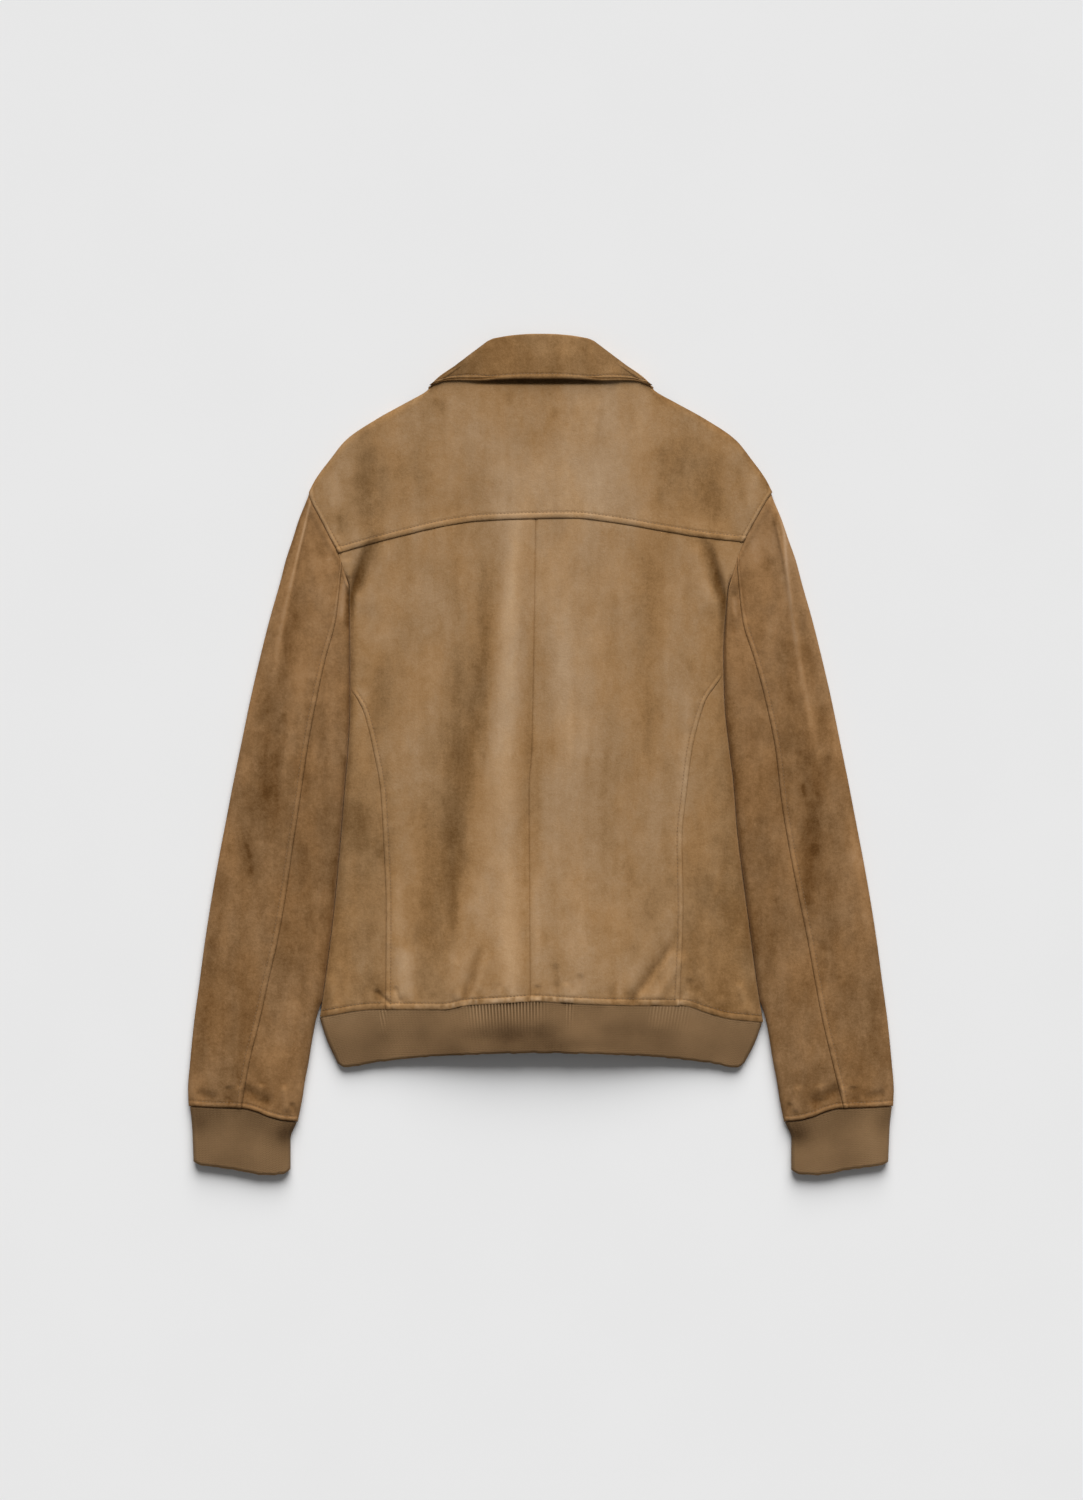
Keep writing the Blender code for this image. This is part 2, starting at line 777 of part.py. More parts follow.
def yoke_column(side, top, low, share):
    """One line of the yoke, from its seam up to the outline and round the edge."""
    quarter = SHOULDER_ROLL * math.pi / 2
    length = np.linalg.norm(low - top)
    inward = (low - top) / length
    end_angle = yoke_end_angle(abs(top[0]))
    end_arc = (quarter if end_angle > 0 else FOLD_MID * math.pi / 2) * end_angle * 2 / math.pi
    arcs = np.linspace(length - SHOULDER_ROLL + quarter, quarter, YOKE_FLAT + 1)
    arcs = np.concatenate([arcs, np.linspace(quarter, end_arc, YOKE_ROUND + 1)[1:]])
    made = []
    for k, arc in enumerate(arcs):
        inset, angle = fold_station(arc, SHOULDER_ROLL, FOLD_MID)
        plan = top + inward * inset
        armhole = side * (side_edge(side, plan[1]) - SEAM_GAP)
        plan[0] += (armhole - plan[0]) * (1 - smooth(share * YOKE_COLUMNS / 2))
        plan[0] = side * min(abs(plan[0]), abs(armhole)) if share < 0.5 else plan[0]
        height = back_top(*plan) + (YOKE_LAP if k == 0 else 0.0)
        made.append(folded_point(plan, inward, angle, fold_height(angle, height, FOLD_MID), SUEDE_WALL))
    return made


def coons(bottom, top, left, right, up):
    """A plan grid between four edges: rows run from bottom to top at the shares `up`."""
    u = np.linspace(0, 1, len(bottom))[None, :, None]
    v = up[:, None, None]
    across = (1 - v) * bottom[None] + v * top[None]
    along = (1 - u) * left[:, None] + u * right[:, None]
    corners = (
        (1 - u) * (1 - v) * bottom[0]
        + u * (1 - v) * bottom[-1]
        + (1 - u) * v * top[0]
        + u * v * top[-1]
    )
    return across + along - corners


def neckline(side):
    """The front's neck edge, from the centre front up to the shoulder, under the stand."""
    points = [(row[2], row[3] - 0.4) for row in COLLAR_FRONT]
    slope = (points[1][1] - points[0][1]) / (points[1][0] - points[0][0])
    for x in (FRONT_EDGE_X, ZIP_CLEAR_X):
        points.append((x, points[0][1] + (x - points[0][0]) * slope))
    points = sorted(points[1:])
    return [(side * (x + (0.5 if x > ZIP_CLEAR_X else 0.0)), y) for x, y in points]


def front_rows(side):
    """Rows of a front: its side edge, and the height of each row at the centre front."""
    edge = []
    for nominal, _ in FRONT_ROWS:
        arc = front_seam_arc(side, nominal)
        outer, _ = round_point(side, nominal, 0.0, arc, -SEAM_GAP / 2)
        if nominal > BODY_ROWS[ROWS_BELOW_UNDERARM - 1][0]:
            outer[0] = side * (side_edge(side, outer[1]) - SEAM_GAP)
        edge.append((outer[0], outer[1]))
    for y, _ in FRONT_TOP_ROWS:
        edge.append((side * (side_edge(side, y) - SEAM_GAP), y))
    centre = [row[1] for row in FRONT_ROWS + FRONT_TOP_ROWS]
    return np.array(edge), np.array(centre + [neckline(side)[0][1]], float)


def front_panel(name, side, material):
    """A front, flat on the floor, lifted only where it lies over the collar's leaf."""
    outline = shoulder_line(side, SHOULDER_FRONT_INSET, NECK_FRONT_INSET)
    outline = outline[: [row[0] for row in SHOULDER].index(104.0) + 1]
    top = np.array(neckline(side) + [tuple(p) for p in outline[::-1]])
    right, centre_y = front_rows(side)
    right = np.concatenate([right, top[-1:]])
    up = (right[:, 1] - right[0, 1]) / (right[-1, 1] - right[0, 1])
    left = np.stack([np.full(len(centre_y), side * FRONT_EDGE_X), centre_y], 1)
    bottom_x = np.linspace(side * ZIP_CLEAR_X, right[0][0], len(top) - 1)
    bottom_x = np.concatenate([[side * FRONT_EDGE_X], bottom_x])
    bottom = np.stack([bottom_x, curve(bottom_x, *columns(HEM_SEAM)) + FRONT_HEM_EASE], 1)
    right[0] = bottom[-1]
    left[0] = bottom[0]
    plan = coons(bottom, top, left, right, up)
    lift = np.array([[front_lift(*p) for p in row] for row in plan])
    lower = np.dstack([plan, lift])
    upper = np.dstack([plan, lift + SUEDE_WALL])
    return wall(name, lower, upper, material)


# ---------------------------------------------------------------- sleeves and cuffs


def sleeve_inner_x(side, y):
    beside_body = side_edge(side, y) + SLEEVE_CLEARANCE
    below_body = curve(y, *columns(SLEEVE_INNER))
    return np.where(y > SLEEVE_INNER[0][0], beside_body, below_body)


def head_bow(side, share):
    """How far the armhole's curve lies off a straight first row, in x."""
    first = curve(SHOULDER_POINT_Y, *columns(SLEEVE_OUTER))
    last = side_edge(side, UNDERARM_Y) + SLEEVE_CLEARANCE
    y = SHOULDER_POINT_Y + (UNDERARM_Y - SHOULDER_POINT_Y) * share
    clear = SEAM_GAP + (SLEEVE_CLEARANCE - SEAM_GAP) * share
    return side_edge(side, y) + clear - (first + (last - first) * share)


def cuff_bow(share):
    """How far the cuff's seam lies off a straight last row, in y."""
    line = CUFF_OUTER_Y + (CUFF_INNER_Y - CUFF_OUTER_Y) * share
    return curve(share, *columns(CUFF_SEAM)) + CUFF_EASE - line


def sleeve_row(side, v):
    """A sleeve row's outer end, inner end, and its bow off the straight line between them."""
    outer_y = SHOULDER_POINT_Y + (CUFF_OUTER_Y - SHOULDER_POINT_Y) * v
    inner_y = UNDERARM_Y + (CUFF_INNER_Y - UNDERARM_Y) * v
    outer = np.array([curve(outer_y, *columns(SLEEVE_OUTER)), outer_y])
    inner = np.array([float(sleeve_inner_x(side, inner_y)), inner_y])

    def bow(share):
        at_head = 1 - smooth(v / ARMHOLE_SHARE)
        at_cuff = 1 - smooth((1 - v) / ARMHOLE_SHARE)
        return np.array([head_bow(side, share) * at_head, cuff_bow(share) * at_cuff])

    return outer, inner, bow


def sleeve_top(x, y, share, v):
    crown = SLEEVE_CROWN * math.sin(math.pi * share) * smooth(v / 0.2) * smooth((1 - v) / 0.1)
    strip = 0.7 * math.exp(-(((1 - v) * 590 - 3.5) / 2.5) ** 2) - 0.8 * math.exp(-(((1 - v) * 590 - 8) / 2) ** 2)
    return BODY_HEIGHT + crown + strip + fold_relief(SLEEVE_FOLDS, abs(x), y)


def seam_share(side, v):
    """Where the back seam crosses a sleeve row, as a share from the outer fold."""
    outer, inner, bow = sleeve_row(side, v)
    shares = np.linspace(0.2, 0.95, 76)
    points = [outer + (inner - outer) * s + bow(s) for s in shares]
    past = [side_column(SLEEVE_SEAM, side, p[1]) - p[0] for p in points]
    return float(np.interp(0.0, past, shares))


def seam_crossing(side, v):
    """Sine of the angle at which a sleeve row crosses the back seam."""
    outer, inner, bow = sleeve_row(side, v)
    share = seam_share(side, v)
    row = (inner - outer) / np.linalg.norm(inner - outer)
    y = outer[1] + (inner[1] - outer[1]) * share
    seam = np.array([side_column(SLEEVE_SEAM, side, y + 5) - side_column(SLEEVE_SEAM, side, y - 5), 10.0])
    return abs(row[0] * seam[1] - row[1] * seam[0]) / np.linalg.norm(seam)


def sleeve_stations(side, v, from_outer, gap):
    """Stations of one sleeve piece in a row, from the back seam round its fold to the floor."""
    outer, inner, bow = sleeve_row(side, v)
    width = np.linalg.norm(inner - outer)
    seam = seam_share(side, v)
    roll = SLEEVE_ROLL if from_outer else SIDE_ROLL
    top_run = (seam if from_outer else 1 - seam) * width - gap / max(seam_crossing(side, v), 0.3)
    floor_run = (UNDER_SEAM if from_outer else 1 - UNDER_SEAM) * width - SEAM_GAP
    quarter = roll * math.pi / 2
    floor_quarter = FOLD_MID * math.pi / 2
    flat = 5 if from_outer else 4
    top = spread(top_run + quarter - roll, 0.0, quarter, flat, 3)
    under = spread(0.0, -(floor_run + floor_quarter - FOLD_MID), -floor_quarter, 3, 4)[1:]
    made = []
    for k, arc in enumerate(np.concatenate([top, under])):
        inset, angle = fold_station(arc, roll, FOLD_MID)
        share = inset / width if from_outer else 1 - inset / width
        place = outer + (inner - outer) * share + bow(share)
        inward = (inner - outer) / width * (1 if from_outer else -1)
        height = sleeve_top(*place, share, v) - (SEAM_DIP if k == 0 else 0.0)
        plan = (side * place[0], place[1])
        level = fold_height(angle, height, FOLD_MID)
        made.append(folded_point(plan, (side * inward[0], inward[1]), angle, level, SUEDE_WALL))
    return made


def sleeve_piece(name, side, from_outer, material):
    last = (0.985, 0.992, 1.0)
    shares = np.concatenate([np.linspace(0, 0.96, SLEEVE_ROWS - 2), last])
    stations = [sleeve_stations(side, v, from_outer, SEAM_GAP / 2) for v in shares]
    return wall(name, *grids(stations), material)


def ribbed(index, relief=RIB_RELIEF):
    return relief if index % 2 else -relief


def cuff(name, side, material):
    """A knitted tube, flattened, with ribs raised on the side that shows."""
    stations = []
    fold_cells = 6
    floor_cells = 10
    for t in (0.0, 0.4, 1.0):
        down, outer_x, inner_x = columns(CUFF_SIDES)
        ends = np.array([curve(t, down, outer_x), curve(t, down, inner_x)])
        width = ends[0] - ends[1]
        row = []
        shares = np.linspace(RIB_MID, width - RIB_MID, 2 * CUFF_RIBS + 1)
        places = [(d, math.pi / 2, ribbed(k)) for k, d in enumerate(shares)]
        turn = np.linspace(90, -90, fold_cells + 1)[1:]
        far = [(width - RIB_MID * (1 - math.cos(math.radians(a))), math.radians(a), 0.0) for a in turn]
        floor = [(d, -math.pi / 2, 0.0) for d in np.linspace(width - RIB_MID, RIB_MID, floor_cells + 1)[1:]]
        near = [(RIB_MID * (1 - math.cos(math.radians(a))), math.radians(a), 0.0) for a in turn[-2::-1]]
        for d, angle, rib in places + far + floor + near:
            share = d / width
            y0 = curve(share, *columns(CUFF_SEAM)) - SEAM_GAP
            y1 = curve(share, *columns(CUFF_END))
            plan = (side * (ends[0] - d), y0 + (y1 - y0) * t)
            inward = (-side if share < 0.5 else side, 0.0)
            level = fold_height(angle, RIB_HEIGHT, RIB_MID) + rib
            outer, inner = folded_point(plan, inward, angle, level, RIB_WALL)
            inner[2] -= rib
            row.append((outer, inner))
        stations.append(row)
    return wall(name, *grids(stations), material, ring=True, inner_step=2)


def hem_rib(name, material):
    """The waist band: a knitted strip folded round both sides, open at the centre front."""
    stations = []
    fold_cells = 6
    floor_cells = 10
    for t in (0.0, 0.5, 1.0):
        edge = curve(t, *columns(HEM_SIDES))
        floor = np.linspace(-FRONT_EDGE_X, -edge + RIB_MID, floor_cells + 1)
        angles = np.radians(np.linspace(-90, 90, fold_cells + 1))[1:-1]
        fold = [(-edge + RIB_MID * (1 - math.cos(a)), a) for a in angles]
        top = np.linspace(-edge + RIB_MID, edge - RIB_MID, 2 * HEM_RIBS + 1)
        places = [(x, -math.pi / 2, 0.0) for x in floor] + [(x, a, 0.0) for x, a in fold]
        places += [(x, math.pi / 2, ribbed(k)) for k, x in enumerate(top)]
        places += [(-x, a, 0.0) for x, a in fold[::-1]] + [(-x, -math.pi / 2, 0.0) for x in floor[::-1]]
        row = []
        for x, angle, rib in places:
            y0 = curve(x, *columns(HEM_SEAM)) - SEAM_GAP - HEM_UNDER_EASE * (1 - math.sin(angle)) / 2
            y1 = curve(x, *columns(HEM_END))
            level = fold_height(angle, RIB_HEIGHT, RIB_MID) + rib
            inward = (-math.copysign(1.0, x), 0.0)
            outer, inner = folded_point((x, y0 + (y1 - y0) * t), inward, angle, level, RIB_WALL)
            inner[2] -= rib
            row.append((outer, inner))
        stations.append(row)
    return wall(name, *grids(stations), material, inner_step=4)


# ---------------------------------------------------------------- collar


def collar_sections():
    """Sections round the collar: plan points, angle, and heights at the roll, edge and neck seam."""
    sections = []
    for row in COLLAR_FRONT:
        sections.append((np.array(row), -math.pi / 2))
    sections += [(np.array(COLLAR_SIDE), math.radians(a)) for a in (-90, -60, -30, 0, 30, 60, 90)]
    for row in COLLAR_BACK:
        sections.append((np.array(row), math.pi / 2))
    mirrored = [(row, angle) for row, angle in sections[-2::-1]]
    return [(-1, *s) for s in sections] + [(1, *s) for s in mirrored]


def collar_frame(side, row, angle, far):
    """Start, run and outward direction of one section, towards the leaf's edge or the neck seam."""
    roll = np.array([side * row[0], row[1]])
    target = np.array([side * row[far], row[far + 1]])
    fold_run = np.array([side * (COLLAR_SIDE[4] - COLLAR_SIDE[0]), COLLAR_SIDE[5] - COLLAR_SIDE[1]])
    fold_run /= np.linalg.norm(fold_run)
    inward = np.array([fold_run[1], -fold_run[0]]) * side
    if tuple(row) == COLLAR_SIDE:
        roll = roll + inward * COLLAR_FOLD_ROLL * (1 - math.cos(angle))
        reach = COLLAR_FOLD_EDGE if far == 4 else COLLAR_FOLD_ROLL
        target = target + inward * reach * (1 - math.cos(angle))
    centre = smooth(1 - row[0] / COLLAR_SIDE[0]) if angle > 0 else 0.0
    up = math.sin(angle)
    top = COLLAR_SIDE_TOP + (COLLAR_BACK_TOP - COLLAR_SIDE_TOP) * centre
    edge = LEAF_EDGE_SIDE + (LEAF_EDGE_BACK - LEAF_EDGE_SIDE) * centre
    seam = STAND_SEAM_SIDE + (STAND_SEAM_BACK - STAND_SEAM_SIDE) * centre
    roll_z = top / 2 * (1 + up)
    edge_z = edge / 2 * (1 + up)
    seam_z = STAND_SEAM_FRONT + (seam - STAND_SEAM_FRONT) * (1 + up) / 2
    outward = np.array([*(-inward * math.cos(angle)), up])
    return roll, target, roll_z, edge_z, seam_z, outward, inward


def collar_leaf(name, material):
    """The fall: from its edge up to the roll line and round it to the stand."""
    stations = []
    for side, row, angle in collar_sections():
        roll, edge, roll_z, edge_z, _, outward, _ = collar_frame(side, row, angle, 4)
        run = edge - roll
        width = np.linalg.norm(run)
        run = np.array([*(run / width), (edge_z - roll_z) / width])
        start = np.array([*roll, roll_z])
        made = []
        for turn in np.radians([-90, -45, 0, 45, 90]):
            shift = COLLAR_ROLL * (1 - math.cos(turn))
            offset = COLLAR_ROLL * (math.sin(turn) - 1)
            outer = start + run * shift + outward * offset
            inner = outer + COLLAR_WALL * (run * math.cos(turn) - outward * math.sin(turn))
            made.append((outer, inner))
        for share in (0.4, 0.75, 1.0):
            shift = COLLAR_ROLL + (width - COLLAR_ROLL) * share
            outer = start + run * shift
            made.append((outer, outer - outward * COLLAR_WALL))
        stations.append(made)
    return wall(name, *grids(stations), material)


def collar_stand(name, material):
    """The band between the roll line and the neck seam, inside the leaf."""
    stations = []
    for side, row, angle in collar_sections():
        roll, seam, roll_z, _, seam_z, outward, inward = collar_frame(side, row, angle, 2)
        _, edge, _, edge_z, _, _, _ = collar_frame(side, row, angle, 4)
        under = -2 * COLLAR_ROLL * outward
        run = np.array([*(edge - roll), edge_z - roll_z]) / np.linalg.norm(edge - roll)
        corner = CORNER_EASE * smooth((row[0] - 26) / 10) * (angle > 0) * (row[0] < COLLAR_SIDE[0])
        first = np.array([*roll, roll_z]) + run * (COLLAR_ROLL + STAND_GAP) + under
        first[:2] += inward * corner
        down = (seam - roll) / np.linalg.norm(seam - roll)
        last = np.array([*(seam - down * SEAM_GAP + under[:2]), seam_z])
        made = []
        for share in (0.0, 0.5, 1.0):
            outer = first + (last - first) * share
            made.append((outer, outer + outward * COLLAR_WALL))
        stations.append(made)
    return wall(name, *grids(stations), material)


# ---------------------------------------------------------------- front closure


def strip(name, x0, x1, low, thickness, top_y, bottom_y, material):
    """A flat strip along the centre front, which follows the fronts where they are lifted."""
    stations = []
    front_y = [row[1] for row in FRONT_ROWS[1:] + FRONT_TOP_ROWS if row[1] < top_y - 2]
    for y in [bottom_y] + front_y + [top_y]:
        lift = front_lift(0.0, y)
        row = [np.array([x, y, low + lift]) for x in (x0, (x0 + x1) / 2, x1)]
        stations.append([(p, p + np.array([0, 0, thickness])) for p in row])
    return wall(name, *grids(stations), material)


def zip_slider(name, material):
    """The slider's plate at the top of the closed chain: round-shouldered, narrow at its neck."""
    outline = [
        (-SLIDER_NECK / 2, 0.0),
        (-SLIDER_WIDTH / 2, 0.45 * SLIDER_LENGTH),
        (-SLIDER_WIDTH / 2, 0.8 * SLIDER_LENGTH),
        (-SLIDER_NECK / 2, SLIDER_LENGTH),
        (SLIDER_NECK / 2, SLIDER_LENGTH),
        (SLIDER_WIDTH / 2, 0.8 * SLIDER_LENGTH),
        (SLIDER_WIDTH / 2, 0.45 * SLIDER_LENGTH),
        (SLIDER_NECK / 2, 0.0),
    ]
    low = front_lift(FRONT_EDGE_X, ZIP_TOP_Y) * 0.5 + 0.4
    high = SUEDE_WALL + front_lift(FRONT_EDGE_X, ZIP_TOP_Y - SLIDER_LENGTH) - 0.4
    bm = bmesh.new()
    base = ZIP_TOP_Y - SLIDER_LENGTH
    lower = [bm.verts.new(np.array([x, base + y, low]) * MM) for x, y in outline]
    upper = [bm.verts.new(np.array([x, base + y, high]) * MM) for x, y in outline]
    bm.faces.new(lower)
    bm.faces.new(upper)
    for k in range(len(outline)):
        n = (k + 1) % len(outline)
        bm.faces.new((lower[k], lower[n], upper[n], upper[k]))
    bmesh.ops.recalc_face_normals(bm, faces=bm.faces)
    mesh = bpy.data.meshes.new(name)
    bm.to_mesh(mesh)
    bm.free()
    mesh.materials.append(material)
    piece = bpy.data.objects.new(name, mesh)
    bpy.context.scene.collection.objects.link(piece)


# ---------------------------------------------------------------- the jacket


def clear_scene():
    for obj in list(bpy.data.objects):
        bpy.data.objects.remove(obj, do_unlink=True)


def build_jacket():
    clear_scene()
    yoke("back_yoke", cloth_material("yoke_suede", SUEDE, 0.9))
    for side, hand in ((-1, "left"), (1, "right")):
        back_panel(f"back_{hand}", side, cloth_material(f"back_{hand}_suede", SUEDE, 0.9))
        side_panel(f"side_{hand}", side, cloth_material(f"side_{hand}_suede", SUEDE, 0.9))
        front_panel(f"front_{hand}", side, cloth_material(f"front_{hand}_suede", SUEDE, 0.9))
        for part, from_outer in (("upper", True), ("under", False)):
            name = f"sleeve_{part}_{hand}"
            sleeve_piece(name, side, from_outer, cloth_material(f"{name}_suede", SUEDE_SLEEVE, 0.9))
        cuff(f"cuff_{hand}", side, cloth_material(f"cuff_{hand}_knit", RIB_KNIT, 0.95))
    hem_rib("hem_rib", cloth_material("hem_knit", RIB_KNIT, 0.95))
    collar_leaf("collar_leaf", cloth_material("collar_leaf_suede", SUEDE, 0.9))
    collar_stand("collar_stand", cloth_material("collar_stand_suede", SUEDE, 0.9))
    half_tape = ZIP_TAPE_WIDTH / 2
    half_chain = ZIP_CHAIN_WIDTH / 2
    bottom = HEM_END[4][1] + 1.5
    tape_low = SUEDE_WALL + SEAM_GAP
    chain_low = SUEDE_WALL - ZIP_CHAIN_WALL
    tape = cloth_material("zip_tape_weave", TAPE, 0.85)
    strip("zip_tape", -half_tape, half_tape, tape_low, TAPE_WALL, ZIP_TOP_Y, bottom, tape)
    chain_top = ZIP_TOP_Y - SLIDER_LENGTH - SEAM_GAP
    chain = cloth_material("zip_chain_metal", METAL, 0.35, 1.0)
    strip("zip_chain", -half_chain, half_chain, chain_low, ZIP_CHAIN_WALL, chain_top, bottom, chain)
    zip_slider("zip_slider", cloth_material("zip_slider_metal", METAL, 0.3, 1.0))


build_jacket()
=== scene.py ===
# %% [markdown]
# # A suede blouson, laid on its front
#
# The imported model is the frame: nineteen plain solids, walls of cloth and a zip, lying
# with the back up. Each is dressed here as the piece of suede, knit or metal that it
# stands for, with its seams, folds, nap and sewing.

# %% Load the frame
import math

import bmesh
import bpy
import numpy as np
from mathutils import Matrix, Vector


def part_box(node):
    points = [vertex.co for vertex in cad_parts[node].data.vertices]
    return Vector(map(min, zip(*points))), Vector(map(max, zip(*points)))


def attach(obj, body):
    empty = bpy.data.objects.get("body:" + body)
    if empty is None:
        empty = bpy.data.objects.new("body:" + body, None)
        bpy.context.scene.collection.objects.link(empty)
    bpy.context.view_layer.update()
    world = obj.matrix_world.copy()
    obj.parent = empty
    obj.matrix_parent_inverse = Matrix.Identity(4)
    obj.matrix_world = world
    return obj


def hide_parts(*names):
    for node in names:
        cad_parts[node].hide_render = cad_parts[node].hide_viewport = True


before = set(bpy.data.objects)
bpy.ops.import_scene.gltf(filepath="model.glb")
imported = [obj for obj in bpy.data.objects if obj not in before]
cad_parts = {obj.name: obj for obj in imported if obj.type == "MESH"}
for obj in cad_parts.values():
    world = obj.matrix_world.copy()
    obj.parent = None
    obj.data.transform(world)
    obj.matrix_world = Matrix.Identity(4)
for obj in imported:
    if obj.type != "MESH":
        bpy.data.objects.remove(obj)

bpy.ops.object.select_all(action="DESELECT")
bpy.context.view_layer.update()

# %% [markdown]
# ## Sizes
#
# A pattern cutter works from a short table for each line of the garment: a few points
# that a smooth curve runs through. All are in millimetres from the centre of the
# jacket, with y up towards the collar. They follow the same lines as the solids.

# %% Cloth and heights
MM = 0.001
SUEDE_WALL = 1.7
KNIT_WALL = 2.2
COLLAR_WALL = 1.4
SEAM_GAP = 0.06
YOKE_GAP = 0.15
SLEEVE_CLEARANCE = 0.05
BODY_HEIGHT = 9.8
FOLD_MID = 4.8
SIDE_ROLL = 5.0
SLEEVE_ROLL = 12.0
SHOULDER_ROLL = 7.0
NECK_SIDE_ROLL = 3.0
RIB_HEIGHT = 8.2
RIB_MID = 4.0
YOKE_LAP = 0.6

# %% The body's lines
SIDE_LINE = (
    # y, left, right
    (254, 224.8, 224.2), (250, 224.2, 221.3), (228, 213.7, 208.5), (208, 203.3, 197.5),
    (195, 196.3, 192), (174, 189.4, 185.5), (160, 185.5, 181.5), (147, 185.5, 180),
    (98, 185, 177), (51, 185, 178), (2, 187, 183), (-26, 189.5, 186.5), (-76, 193.5, 190.5),
    (-147, 200, 199.5), (-219, 209, 209), (-260, 215, 215.5),
)
UNDERARM_Y = 160.0
ARMHOLE_OPENS = 25.0
SIDE_SEAM = (
    # y, left, right
    (160, 185.5, 181.5), (79, 185, 176.5), (65, 184.6, 168), (54, 178, 160.5), (42, 172, 156),
    (25, 167, 151), (5, 162.5, 146.5), (-34, 155.5, 141.5), (-83, 152.5, 136.8),
    (-147, 150, 137.8), (-240, 150.5, 134.5),
)
SEAM_IN_FOLD = 0.35
FRONT_SEAM = (
    # y, inset
    (185, 0.3), (172, 3.5), (160, 7.5), (130, 22), (80, 42), (0, 54), (-260, 60),
)
CENTRE_BACK = (
    # y, x
    (230, -5), (2, -9), (-34, -11.5), (-141, -11), (-260, -10),
)
YOKE_SEAM = (
    # x, y
    (-200, 193.5), (-159, 205), (-136, 211), (-90, 221.5), (-62, 225.5), (-24, 227.5),
    (31, 228.5), (68, 224.5), (124, 215), (155, 210), (200, 205),
)
HEM_SEAM = (
    # x, y
    (-216, -255), (-159, -247), (-93, -247), (-73, -243), (-39, -241), (-4, -239), (29, -241),
    (88, -243), (138, -243.5), (160, -250), (182, -256), (216, -259.5),
)
HEM_END = (
    # x, y
    (-197, -299), (-190, -303), (-160, -298), (-97, -291.5), (0, -288.5), (97, -291.5),
    (160, -298), (190, -303), (197, -299),
)
HEM_SIDES = (
    # share down, x
    (0, 214.5), (0.5, 207.5), (1, 197),
)
YOKE_Y = 227.0
HEM_Y = -240.0
ROW_FADE = 90.0
HEM_EASE = 0.35

# %% The shoulder, sleeve and cuff lines
SHOULDER = (
    # x, y
    (224.2, 254.4), (218, 266.5), (204, 286), (188.5, 305), (160, 324.5), (127, 342.8),
    (111.5, 351.6), (104.3, 358.4), (98, 364), (88, 369.4), (77, 371), (40, 371), (0, 371),
)
SLEEVE_OUTER = (
    # y, x
    (252.5, 225.6), (249, 226.8), (228, 235), (208, 241), (189, 247), (169, 252), (130, 263),
    (92, 272.5), (53, 281.5), (14, 289.5), (-25, 297.5), (-64, 305), (-102, 312.3),
    (-141, 319.2), (-180, 325.3), (-219, 330.5), (-258, 335.8), (-296, 339.6), (-325, 341.8),
    (-341, 341.2),
)
SLEEVE_INNER = (
    # y, x
    (-240, 212.8), (-258, 218), (-277, 221.6), (-296, 224.6), (-316, 228.4), (-335, 231.3),
    (-356, 235.5),
)
SLEEVE_SEAM = (
    # y, left, right
    (180, 193, 190), (130, 198.5, 195), (92, 208.5, 206.5), (53, 217, 217), (4, 226, 227),
    (-44, 233, 232.5), (-93, 240.5, 240.5), (-141, 247.5, 250), (-180, 254.5, 258),
    (-219, 263.5, 265), (-258, 272, 272.5), (-296, 281.5, 281.5), (-341, 289.5, 292.5),
)
SHOULDER_POINT_Y = 252.5
CUFF_OUTER_Y = -341.0
CUFF_INNER_Y = -356.0
CUFF_EASE = 0.5
ARMHOLE_SHARE = 0.14
UNDER_SEAM = 0.5
CUFF_SEAM = (
    # share of the width from the outer fold, y
    (0, -341), (0.25, -342.5), (0.5, -343.5), (0.62, -346.5), (0.74, -351.5), (0.88, -355),
    (1, -356),
)
CUFF_END = (
    # share of the width from the outer fold, y
    (0, -394), (0.08, -397.5), (0.35, -401), (0.75, -407), (0.92, -406.5), (1, -402),
)
CUFF_SIDES = (
    # share down, outer x, inner x
    (0, 340, 236.5), (0.35, 338, 242.5), (1, 336.5, 242.5),
)
HEM_RIBS = 134
CUFF_RIBS = 28

# %% The collar's lines
COLLAR_FRONT = (
    # roll x, y, neck x, y, edge x, y
    (5, 298, 5, 270, 48, 239), (22, 303, 30, 274, 68, 262), (37, 320, 60, 292, 86, 292),
    (46, 345, 79, 328, 99, 325), (49, 372, 85, 354, 104, 339),
)
COLLAR_SIDE = (51.5, 400.3, 85.0, 371.0, 109.5, 357.0)
COLLAR_BACK = (
    (45.5, 402.8, 74, 371.5, 91, 361.2), (39.5, 404, 64, 371.5, 80, 361.6),
    (30, 405.6, 47, 371.5, 61, 361.2), (18, 406.8, 28, 371.5, 40, 362.4),
    (9, 407.3, 13, 371.5, 20, 363.1), (0, 407.4, 0, 371.5, 0, 363),
)
LEAF_END = (
    # angle round the side fold, x, y of the leaf's edge
    (-90, 103, 348), (-60, 105.5, 350), (-30, 107.9, 351.8), (0, 108.8, 353.4),
    (30, 107.4, 355.4), (60, 104, 357.6), (90, 99, 359.4),
)
LEAF_BOW = 3.0
BOW_PEAK = 12.2
COLLAR_SIDE_TOP = 12.8
COLLAR_BACK_TOP = 10.5
LEAF_EDGE_SIDE = 12.6
LEAF_EDGE_BACK = 16.2
STAND_SEAM_FRONT = 4.4
STAND_SEAM_SIDE = 7.2
STAND_SEAM_BACK = 4.9
COLLAR_ROLL = 1.7
STAND_GAP = 0.9
CORNER_EASE = 2.5
COLLAR_FOLD_ROLL = 5.0
COLLAR_TUCK = 18.0

# %% Curves through a table
HANDS = (("left", -1), ("right", 1))


def columns(table):
    return tuple(np.array(column, float) for column in zip(*table))


def summed(steps):
    """Distance along a line at each of its points, from the steps between them."""
    return np.concatenate([[0.0], np.cumsum(steps)])


